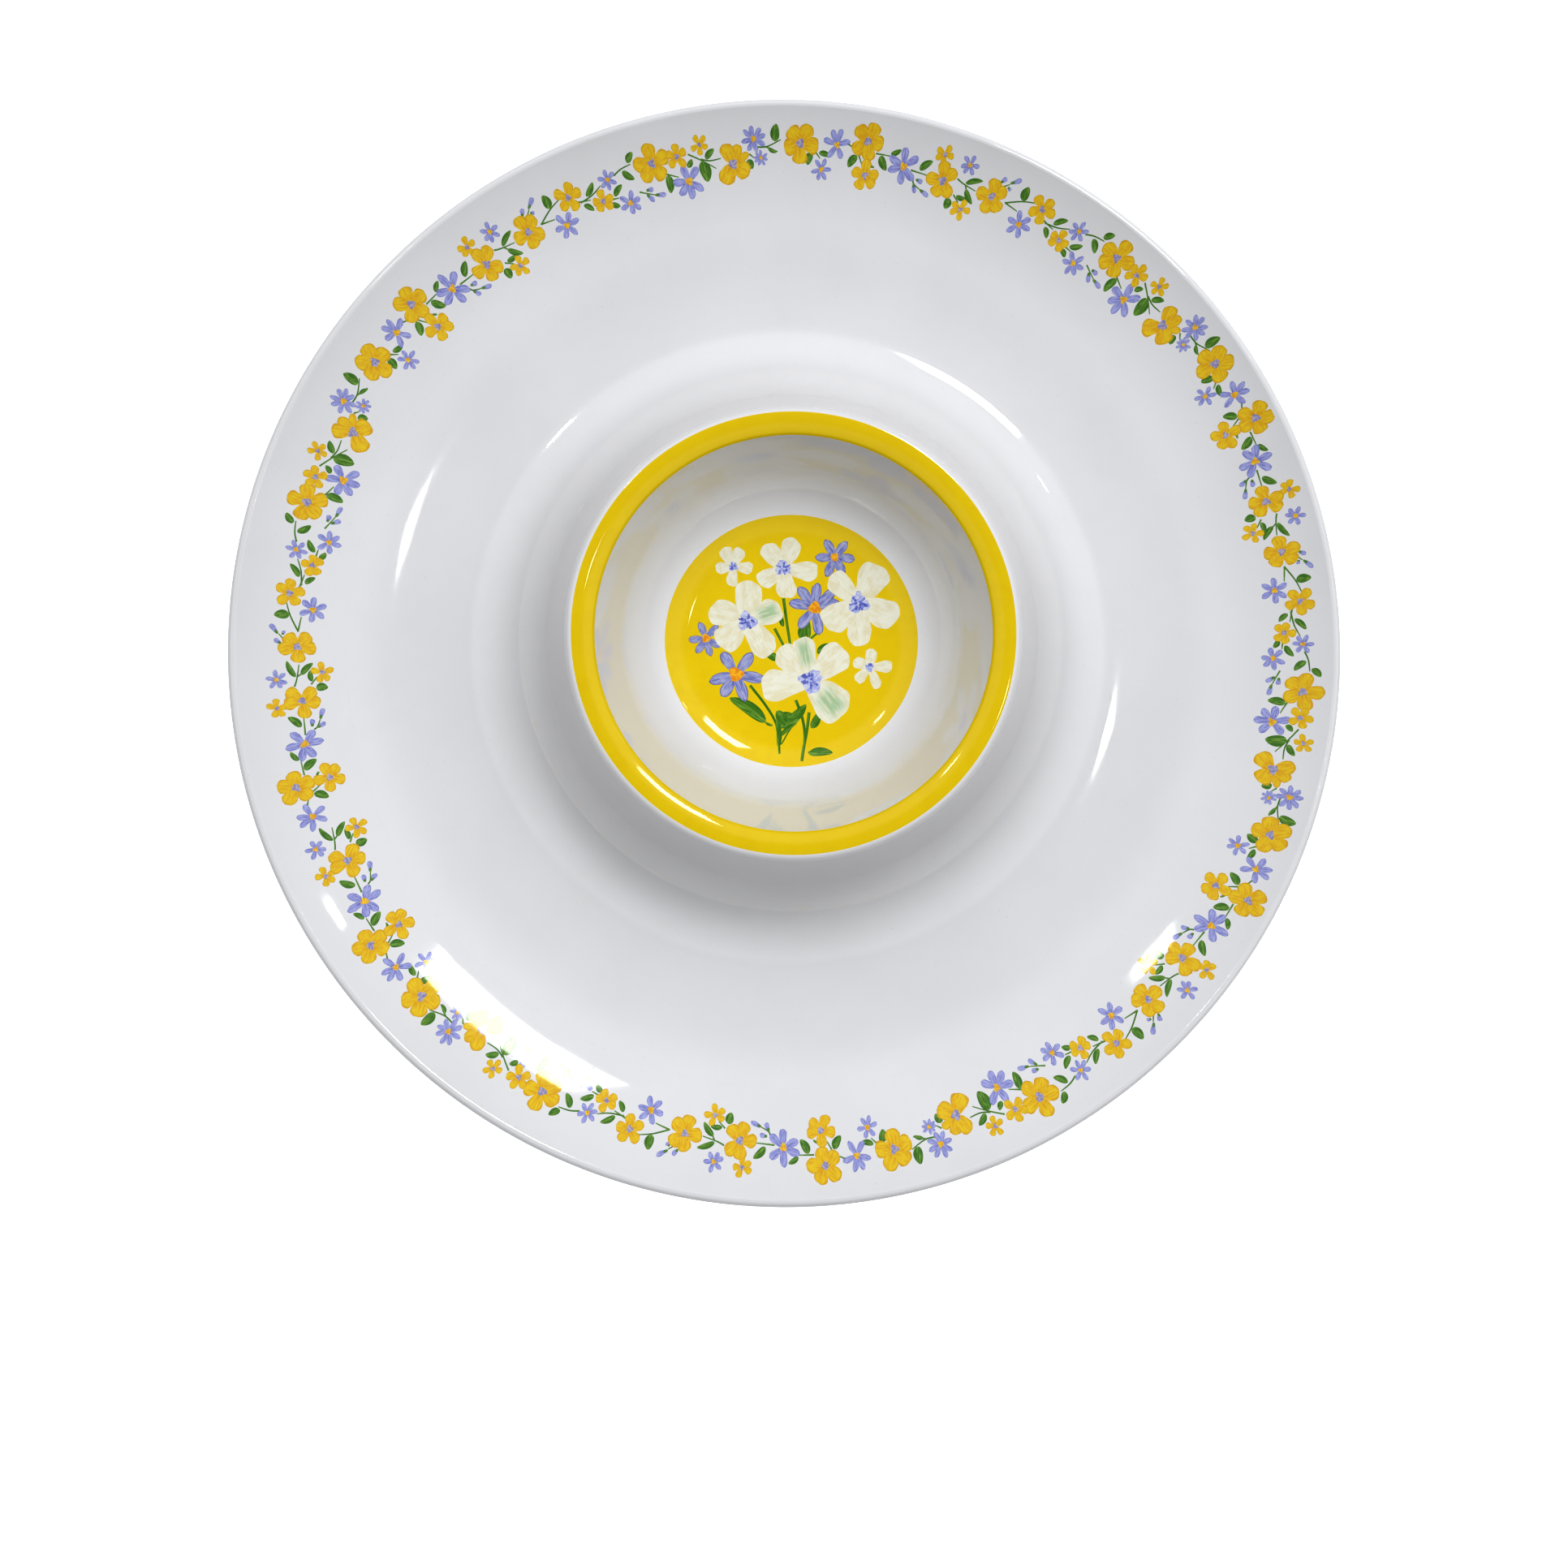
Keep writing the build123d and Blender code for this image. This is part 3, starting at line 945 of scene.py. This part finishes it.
BORDER_SEED = 7
STEM_WIDTH = 0.52
# How much wider the brush is than the widths above
LEAF_FULLNESS = 1.3
PETAL_FULLNESS = 1.1
LARGEST_HEART = 1.45
# Where each run of the repeat starts, and the part of it that is printed there.
RUNS = (
    (0.0, -3.0, 55.0), (56.5, -3.0, 55.0), (113.0, -3.0, 55.0), (169.8, -3.0, 55.0),
    (226.4, -3.0, 21.4), (245.4, 3.3, 55.0), (302.8, -3.0, 55.0),
)


def border_art(look):
    """The border's stems, leaves, buds and flowers all round the dish, in paint order."""
    art = Art(BORDER_SEED)
    centre = (look.print_x / MM, look.print_y / MM)

    def frame_at(angle):
        a = math.radians(angle)
        return (math.sin(a), math.cos(a)), (math.cos(a), -math.sin(a))

    def spot(start, angle, radius):
        out, _ = frame_at(start + angle)
        return (centre[0] + out[0] * radius, centre[1] + out[1] * radius)

    def way(start, angle, degrees):
        out, on = frame_at(start + angle)
        c, s = math.cos(math.radians(degrees)), math.sin(math.radians(degrees))
        return (on[0] * c + out[0] * s, on[1] * c + out[1] * s)

    def shown(rows, low, high):
        return [row for row in rows if low <= row[0] < high]

    for start, low, high in RUNS:
        for stem in shown(STEMS, low, high):
            path = [spot(start, a, r) for a, r in zip(stem[::2], stem[1::2])]
            art.stroke(LEAF, smooth_path(path), STEM_WIDTH)
        for a, r, b, q, width in shown(LEAVES, low, high):
            art.leaf(LEAF, spot(start, a, r), spot(start, b, q), width * LEAF_FULLNESS)
        for a, r, b, q in shown(BUDS, low, high):
            base, tip = spot(start, a, r), spot(start, b, q)
            length = math.dist(base, tip)
            along = (tip[0] - base[0], tip[1] - base[1])
            width = min(1.5, 0.55 * length + 0.3)
            art.petal(LILAC, base, along, length, width, egg=0.25, points=12)
            art.petal(LEAF, base, along, length * 0.42, 0.8, egg=-0.2, points=10)
        for ink, dab, flowers in (
            (LILAC, ORANGE_DAB, LILAC_FLOWERS), (YELLOW, VIOLET_DAB, YELLOW_FLOWERS)
        ):
            for a, r, length, width, ways in shown(flowers, low, high):
                petals = [way(start, a, d) for d in ways]
                flower(art, ink, dab, spot(start, a, r), petals, length, width)
        a, r, petals = LARGEST_FLOWER
        if low <= a < high:
            middle = spot(start, a, r)
            for d, length, width in petals:
                full = width * PETAL_FULLNESS
                art.petal(YELLOW, middle, way(start, a, d), length, full, egg=0.3, points=20)
            art.blob(VIOLET_DAB, middle, LARGEST_HEART, rough=0.35)
    return art


def flower(art, ink, dab, middle, ways, length, width):
    """A small flower of the border: its petals, then the dab in its centre."""
    slim = ink == LILAC
    for along in ways:
        grown = length * (1.04 + art.random.uniform(-0.05, 0.05))
        art.petal(
            ink, middle, along, grown, width * PETAL_FULLNESS, egg=0.18 if slim else 0.3,
            point=1.15 if slim else 1.12, points=14 if slim else 18,
        )
    art.blob(dab, middle, length * 0.2 + 0.12, points=12, rough=0.35)


def ring_grid(low, high, step):
    """Points spread evenly over a ring, to follow its curve between the outlines."""
    rows = max(2, round((high - low) / step))
    grid = []
    for k in range(1, rows):
        radius = low + (high - low) * k / rows
        count = max(12, round(2 * math.pi * radius / step))
        turn = math.pi * (k % 2) / count
        for i in range(count):
            a = 2 * math.pi * i / count + turn
            grid.append((radius * math.cos(a), radius * math.sin(a)))
    return grid


# ------------------------------------------------------------------ bouquet layout

# Drawn in millimetres on the bowl's floor, x to the right and y to the bouquet's top.
# White flowers: centre, then each petal's direction (anticlockwise degrees), length and width,
# with a 1 where a green wash lies over it; last the size of the heart.
WHITE_FLOWERS = (
    ((-19.3, 24.4),
     ((118, 7.0, 4.2), (68, 6.6, 4.0), (355, 6.5, 3.8), (266, 6.6, 3.6), (187, 5.8, 3.8)), 1.5),
    ((-2.9, 23.9),
     ((128, 9.8, 6.2), (70, 10.6, 6.4), (354, 11.7, 6.2), (280, 10.0, 6.4), (212, 9.4, 6.0)), 2.5),
    ((22.3, 12.5),
     ((135, 13.2, 7.4), (62, 14.4, 9.8), (338, 13.6, 9.6), (270, 14.0, 7.8), (212, 13.6, 9.4)),
     3.3),
    ((-14.6, 6.4),
     ((163, 12.8, 8.6), (88, 13.2, 8.8), (22, 11.8, 8.2, 1), (304, 13.4, 8.4), (222, 12.4, 8.6)),
     2.9),
    ((25.7, -8.6),
     ((160, 5.6, 3.8), (83, 6.0, 3.8), (2, 7.6, 3.8), (292, 7.6, 3.2), (228, 6.6, 3.4)), 1.4),
    ((6.4, -13.2),
     ((135, 15.0, 8.0), (102, 14.8, 7.0, 1), (44, 15.4, 9.6), (188, 16.6, 9.8),
      (312, 15.4, 12.2, 1)), 3.8),
)
# Lilac flowers: centre, petal length, petal width, petal directions, centre's size.
LILAC_BOUQUET = (
    ((14.2, 27.8), 6.8, 3.4, (355, 52, 118, 182, 247, 298), 1.3),
    ((7.6, 10.9), 8.8, 3.8, (15, 42, 84, 128, 168, 232, 280), 2.0),
    ((-28.1, 0.6), 5.8, 2.7, (330, 48, 112, 186, 238, 285), 1.4),
    ((-18.2, -11.2), 9.2, 4.2, (350, 52, 122, 196, 238, 290), 2.3),
)
# Stems: points from the flower down, and widths at the top.
BOUQUET_STEMS = (
    (((-2.7, 14.0), (-1.6, 6.0), (-0.2, -3.0)), 1.0),
    (((-5.6, 4.0), (-3.6, 0.2), (-1.4, -4.0)), 0.9),
    (((9.6, 3.4), (7.6, 1.8), (5.8, 0.2)), 0.8),
    (((-13.6, -14.8), (-8.0, -22.0), (-4.6, -28.6), (-3.9, -37.2)), 0.9),
    (((-5.2, -26.8), (-4.2, -32.0), (-3.4, -34.0), (-1.2, -30.4), (0.6, -27.8)), 0.5),
    (((1.4, -19.6), (3.6, -25.6), (4.4, -32.0), (3.4, -39.6)), 1.0),
    (((5.8, -23.6), (5.0, -30.0), (3.8, -36.4), (3.3, -39.6)), 1.0),
    (((5.4, -36.8), (7.4, -35.8), (9.4, -35.8)), 0.4),
)
# Leaves: base, tip, width.
BOUQUET_LEAVES = (
    ((-8.4, -26.8), (-20.2, -19.0), 4.4), ((-8.6, -26.9), (-6.0, -28.0), 0.9),
    ((-4.6, -27.0), (1.0, -24.6), 4.4), ((-1.0, -26.6), (4.8, -21.0), 3.2),
    ((-4.0, -28.6), (2.6, -26.0), 2.6), ((-3.6, -31.4), (1.8, -27.0), 1.6),
    ((-4.8, -23.2), (-0.6, -27.6), 3.4), ((-4.2, -35.0), (-4.9, -25.6), 1.8),
    ((6.6, -28.8), (9.0, -23.6), 2.8), ((5.6, -37.0), (13.5, -36.8), 2.9),
    ((3.0, 0.6), (5.4, 6.6), 3.2), ((5.6, 0.8), (5.8, 6.2), 2.0),
    ((-3.4, -6.0), (-8.8, -4.0), 2.6), ((8.4, -4.0), (13.8, -1.4), 3.0),
    ((-2.8, 4.6), (-3.4, 8.6), 1.6),
)


BOUQUET_SEED = 23
HEART_STROKES = 11


def bouquet_art():
    """Stems and leaves, then lilac flowers, then white flowers with violet strokes in them."""
    art = Art(BOUQUET_SEED)
    for path, width in BOUQUET_STEMS:
        art.stroke(LEAF, smooth_path(list(path), 6), width, taper=0.8)
    for base, tip, width in BOUQUET_LEAVES:
        art.leaf(LEAF, base, tip, width, points=28)
    for middle, length, width, ways, heart in LILAC_BOUQUET:
        for d in ways:
            along = polar((0.0, 0.0), 1.0, d)
            grown = length * (1 + art.random.uniform(-0.06, 0.06))
            art.petal(
                LILAC, middle, along, grown, width * 0.9, egg=0.15, point=1.3, wobble=0.04,
                points=34,
            )
        art.blob(ORANGE_DAB, middle, heart, points=26, rough=0.2)
    for middle, petals, heart in WHITE_FLOWERS:
        for d, length, width, *green in petals:
            along = polar((0.0, 0.0), 1.0, d)
            number = art.random.uniform(0.0, PLAIN) if not green else GREEN_WASHED
            art.petal(WHITE, middle, along, length, width, 0.3, 0.9, 0.045, 56, number)
        art.blob(WASH, middle, heart * 0.95, points=22, rough=0.3)
        for _ in range(HEART_STROKES):
            a = art.random.uniform(0, 2 * math.pi)
            near = art.random.uniform(0.05, 0.5) * heart
            far = art.random.uniform(0.6, 1.05) * heart
            lean = a + art.random.uniform(-0.5, 0.5)
            path = [
                (middle[0] + reach * math.cos(way), middle[1] + reach * math.sin(way))
                for reach, way in ((near, a), (far, lean))
            ]
            art.stroke(VIOLET_DAB, smooth_path(path, 3), heart * 0.24, taper=0.8)
    return art


# ------------------------------------------------------------------ operators

# Spacing of the points that make a film follow its curve, in millimetres
FLAT_STEP, CORNER_STEP, BORDER_STEP = 4.0, 1.2, 3.0
# Divisions of the films' round edges
FLOOR_STEPS, DISC_STEPS, BORDER_OUTER_STEPS, BORDER_INNER_STEPS = 120, 240, 720, 600
# Dabs per metre in the hearts of the bouquet and of the border
BIG_DABS, SMALL_DABS = 900.0, 1500.0


class SERVER_OT_mould_body(Operator):
    """Mould the dish, pedestal and bowl in one white piece"""

    bl_idname = "server.mould_body"
    bl_label = "Mould Body"

    def execute(self, context):
        shape = context.scene.server_shape
        section = Section(shape)
        runs = section.upper_runs() + section.under_runs()
        white = moulded_white("White Melamine", context.scene.server_melamine)
        turned("moulding", runs, shape.around, False, white, "platter_body")
        return {"FINISHED"}


class SERVER_OT_lay_band(Operator):
    """Lay the yellow band over the bowl's rim"""

    bl_idname = "server.lay_band"
    bl_label = "Lay Rim Band"

    def execute(self, context):
        shape = context.scene.server_shape
        section = Section(shape)
        top = section.rim_runs(0.0)
        under = section.rim_runs(section.film)
        bottom = [[(r, z, -nr, -nz) for r, z, nr, nz in run[::-1]] for run in under[::-1]]
        runs = [*top, line_run(top[-1][-1][:2], bottom[0][0][:2]), *bottom]
        runs.append(line_run(bottom[-1][-1][:2], top[0][0][:2]))
        look = context.scene.server_print
        yellow = ground_ink("Rim Yellow", look.ground_yellow, context.scene.server_melamine.polish)
        turned("rim_yellow", runs, shape.around, True, yellow, "rim_band")
        return {"FINISHED"}


class SERVER_OT_print_bowl_floor(Operator):
    """Print the yellow floor of the bowl with its bouquet"""

    bl_idname = "server.print_bowl_floor"
    bl_label = "Print Bowl Floor"

    def execute(self, context):
        section = Section(context.scene.server_shape)
        look = context.scene.server_print
        polish = context.scene.server_melamine.polish
        art = bouquet_art()
        grid = ring_grid(0.0, section.floor_r, FLAT_STEP)
        grid += ring_grid(section.floor_r, DISC_R, CORNER_STEP)
        grid += circle(section.floor_r, FLOOR_STEPS)
        cut = cut_up(art, circle(DISC_R, DISC_STEPS), [], grid)
        inks = {
            FILM: ("bowl_floor_yellow", ground_ink("Floor Yellow", look.ground_yellow, polish)),
            LEAF: ("bouquet_leaves", leafy("Bouquet Green", look.leaf, look.leaf_deep, polish)),
            LILAC: (
                "bouquet_lilac_petals",
                painted(
                    "Bouquet Lilac", (0.45, 0.47, 0.74), (0.14, 0.17, 0.47), polish,
                    root=0.4, streak=0.75, fine=4.5, wash=(0.60, 0.60, 0.70), wash_share=0.5,
                    edge=(0.10, 0.11, 0.30), edge_share=0.7,
                ),
            ),
            WHITE: (
                "bouquet_white_petals",
                painted(
                    "Bouquet White", look.petal_white, (0.80, 0.77, 0.58), polish,
                    root=0.1, streak=0.45, fine=3.0, wash=(0.76, 0.69, 0.44), wash_share=0.5,
                    green=(0.44, 0.60, 0.38),
                ),
            ),
            ORANGE_DAB: (
                "bouquet_orange_hearts",
                dabbed("Heart Orange", (0.93, 0.54, 0.04), (0.80, 0.34, 0.02), polish, BIG_DABS),
            ),
            WASH: (
                "bouquet_lilac_wash",
                dabbed("Heart Wash", (0.66, 0.68, 0.84), (0.44, 0.47, 0.78), polish, BIG_DABS),
            ),
            VIOLET_DAB: (
                "bouquet_violet_hearts",
                dabbed("Heart Violet", (0.30, 0.34, 0.70), (0.14, 0.17, 0.52), polish, BIG_DABS),
            ),
        }
        film_pieces(
            art, cut, section.on_floor, section.film, inks, "bowl_floor_disc"
        )
        return {"FINISHED"}


class SERVER_OT_print_border(Operator):
    """Print the flower border round the dish"""

    bl_idname = "server.print_border"
    bl_label = "Print Border"

    def execute(self, context):
        section = Section(context.scene.server_shape)
        look = context.scene.server_print
        melamine = context.scene.server_melamine
        polish = melamine.polish
        art = border_art(look)
        low, high = section.border_inner, BORDER_OUTER_R
        outer, inner = circle(high, BORDER_OUTER_STEPS), circle(low, BORDER_INNER_STEPS)
        cut = cut_up(art, outer, inner, ring_grid(low, high, BORDER_STEP))
        inks = {
            FILM: ("border_film", moulded_white("Border Film", melamine)),
            LEAF: ("border_leaves", leafy("Border Green", look.leaf, look.leaf_deep, polish)),
            LILAC: (
                "border_lilac_petals",
                painted(
                    "Border Lilac", look.lilac, look.violet, polish,
                    root=0.25, streak=0.7, fine=2.2, edge=(0.20, 0.21, 0.52), edge_share=0.45,
                ),
            ),
            YELLOW: (
                "border_yellow_petals",
                painted(
                    "Border Yellow", look.golden, look.orange, polish,
                    root=0.42, streak=0.5, edge=(0.62, 0.33, 0.002), edge_share=0.6,
                ),
            ),
            VIOLET_DAB: (
                "border_violet_hearts",
                dabbed("Small Violet", (0.55, 0.51, 0.63), (0.31, 0.29, 0.52), polish, SMALL_DABS),
            ),
            ORANGE_DAB: (
                "border_orange_hearts",
                dabbed("Small Orange", (0.90, 0.62, 0.05), (0.76, 0.42, 0.03), polish, SMALL_DABS),
            ),
        }
        film_pieces(art, cut, section.on_slope, section.film, inks, "flower_border")
        return {"FINISHED"}


# ------------------------------------------------------------------ stage

TABLE_HALF = 4.0
# The table lies a hair below the foot, so the two faces don't coincide
TABLE_DROP = 0.0002
TABLE_GREYS = ((0.80, 0.80, 0.80), (0.82, 0.82, 0.82))
# How brightly the table glows where the camera sees it
SEEN_GLOW = 0.9
ROOM_TINT = (0.965, 0.98, 1.0, 1.0)
# Towards the windows: the cosines between which the light grows from dim to bright
WINDOW_TOWARDS, WINDOW_FROM, WINDOW_TO = (0.22, 0.65, 0.73), -0.4, 1.0
# The light falls off towards the horizon, and in the small opening that the camera looks through
CANOPY = ((0.0, 0.0, 1.0), 0.15, 0.80, 0.24, 1.0)
OPENING = ((0.03, 0.09, 0.99), 0.93, 0.99, 1.0, 0.3)
# Lamps: name, place, share of the key's brightness, width, depth, turn in degrees
LAMPS = (
    ("softbox", (0.307, 0.490, 1.0), 1.0, 0.20, 0.155, -13),
    ("small_softbox", (-0.317, 0.421, 1.0), 1.0, 0.055, 0.055, 0),
    ("side_softbox", (0.705, 0.541, 1.0), 0.5, 0.045, 0.045, 0),
    ("overhead_spot", (0.234, 0.083, 1.453), 1.0, 0.036, 0.036, 0),
)


def add_lamp(name, at, radiance, width, depth, turn):
    """A flat lamp that faces the dish's centre, with an even face of this brightness."""
    light = bpy.data.lights.new(name, "AREA")
    light.shape = "RECTANGLE"
    light.size, light.size_y = width, depth
    light.energy = radiance * math.pi * width * depth
    holder = bpy.data.objects.new(name, light)
    bpy.context.scene.collection.objects.link(holder)
    holder.location = at
    aim = Vector(at).to_track_quat("Z", "Y")
    holder.rotation_mode = "QUATERNION"
    holder.rotation_quaternion = aim @ Matrix.Rotation(turn, 4, "Z").to_quaternion()


def add_table(scene, glow_on_server):
    """A pale table that glows a little, and more where the camera sees it."""
    mesh = bpy.data.meshes.new("table")
    h = TABLE_HALF
    mesh.from_pydata([(-h, -h, 0), (h, -h, 0), (h, h, 0), (-h, h, 0)], [], [(0, 1, 2, 3)])
    table = bpy.data.objects.new("table", mesh)
    scene.collection.objects.link(table)
    table.location.z = -TABLE_DROP
    n = Nodes("Lit Table")
    where = n.places()
    n.colour(n.blend(n.noise(where, 3.0), *TABLE_GREYS))
    n.shader.inputs["Roughness"].default_value = 0.9
    n.shader.inputs["Specular IOR Level"].default_value = 0.1
    n.shader.inputs["Emission Color"].default_value = (1, 1, 1, 1)
    seen = n.add("ShaderNodeLightPath").outputs["Is Camera Ray"]
    glow = n.ramp(seen, 0.0, 1.0, glow_on_server, SEEN_GLOW)
    n.link(glow, n.shader.inputs["Emission Strength"])
    mesh.materials.append(n.material)


def light_room(scene, dim, bright):
    """A soft room, brighter towards its windows, with a white backdrop for the camera."""
    world = bpy.data.worlds.new("Studio")
    scene.world = world
    world.use_nodes = True
    tree = world.node_tree
    back = next(node for node in tree.nodes if node.type == "BACKGROUND")
    coord = tree.nodes.new("ShaderNodeTexCoord")

    def spread(towards, low, high, from_level, to_level):
        """Light that changes smoothly towards a direction."""
        facing = tree.nodes.new("ShaderNodeVectorMath")
        facing.operation = "DOT_PRODUCT"
        facing.inputs[1].default_value = Vector(towards).normalized()
        tree.links.new(coord.outputs["Generated"], facing.inputs[0])
        change = tree.nodes.new("ShaderNodeMapRange")
        change.interpolation_type = "SMOOTHSTEP"
        for target, value in zip(list(change.inputs)[1:5], (low, high, from_level, to_level)):
            target.default_value = value
        tree.links.new(facing.outputs["Value"], change.inputs[0])
        return change.outputs[0]

    def both(operation, a, b):
        node = tree.nodes.new("ShaderNodeMath")
        node.operation = operation
        tree.links.new(a, node.inputs[0])
        tree.links.new(b, node.inputs[1])
        return node.outputs[0]

    window = spread(WINDOW_TOWARDS, WINDOW_FROM, WINDOW_TO, dim, bright)
    canopy = spread(*CANOPY)
    opening = spread(*OPENING)
    room = both("MULTIPLY", both("MULTIPLY", window, canopy), opening)
    seen = tree.nodes.new("ShaderNodeLightPath").outputs["Is Camera Ray"]
    tree.links.new(both("MAXIMUM", room, seen), back.inputs["Strength"])
    back.inputs["Color"].default_value = ROOM_TINT


def stand_camera(scene, studio):
    """The camera above the dish, looking down with a slight tilt."""
    data = bpy.data.cameras.new("camera")
    camera = bpy.data.objects.new("camera", data)
    scene.collection.objects.link(camera)
    data.lens = studio.lens
    data.sensor_width = 36.0
    data.shift_x, data.shift_y = studio.shift_x, studio.shift_y
    data.clip_start = 0.01
    forward = Vector(studio.camera_aim).normalized()
    right = forward.cross(Vector((0, 1, 0))).normalized()
    up = right.cross(forward)
    turn = Matrix((right, up, -forward)).transposed()
    camera.matrix_world = Matrix.Translation(studio.camera_at) @ turn.to_4x4()
    scene.camera = camera


class SERVER_OT_set_stage(Operator):
    """Set up the pale table, the room's light, the softboxes and the camera"""

    bl_idname = "server.set_stage"
    bl_label = "Set Stage"

    def execute(self, context):
        scene = context.scene
        studio = scene.server_studio
        add_table(scene, studio.floor_glow)
        light_room(scene, studio.sky_low, studio.sky_high)
        for name, at, share, width, depth, turn in LAMPS:
            add_lamp(name, at, share * studio.key_radiance, width, depth, math.radians(turn))
        stand_camera(scene, studio)
        scene.view_settings.view_transform = "Standard"
        scene.view_settings.gamma = studio.contrast
        return {"FINISHED"}


# ------------------------------------------------------------------ sidebar


SETTINGS = {
    "server_shape": ServerShape,
    "server_melamine": MelamineLook,
    "server_print": PrintLook,
    "server_studio": StudioSettings,
}
OPERATORS = (
    SERVER_OT_mould_body,
    SERVER_OT_lay_band,
    SERVER_OT_print_bowl_floor,
    SERVER_OT_print_border,
    SERVER_OT_set_stage,
)


class SERVER_PT_sidebar(Panel):
    """Lists the steps that build the server"""

    bl_label = "Chip and Dip Server"
    bl_idname = "SERVER_PT_sidebar"
    bl_space_type = "VIEW_3D"
    bl_region_type = "UI"
    bl_category = "Server"

    def draw(self, context):
        column = self.layout.column()
        for operator in OPERATORS:
            column.operator(operator.bl_idname)
        for name in SETTINGS:
            box = column.box()
            group = getattr(context.scene, name)
            for key in group.__annotations__:
                box.prop(group, key)


def register():
    """Adds the settings, the steps and the sidebar to Blender."""
    for group in SETTINGS.values():
        bpy.utils.register_class(group)
    for operator in OPERATORS:
        bpy.utils.register_class(operator)
    bpy.utils.register_class(SERVER_PT_sidebar)
    for name, group in SETTINGS.items():
        setattr(bpy.types.Scene, name, PointerProperty(type=group))


def unregister():
    """Takes them all out again."""
    for name in SETTINGS:
        delattr(bpy.types.Scene, name)
    bpy.utils.unregister_class(SERVER_PT_sidebar)
    for operator in reversed(OPERATORS):
        bpy.utils.unregister_class(operator)
    for group in SETTINGS.values():
        bpy.utils.unregister_class(group)


def main():
    """Builds the server on its stage."""
    register()
    bpy.ops.server.mould_body()
    bpy.ops.server.lay_band()
    bpy.ops.server.print_bowl_floor()
    bpy.ops.server.print_border()
    bpy.ops.server.set_stage()


if __name__ == "__main__":
    main()
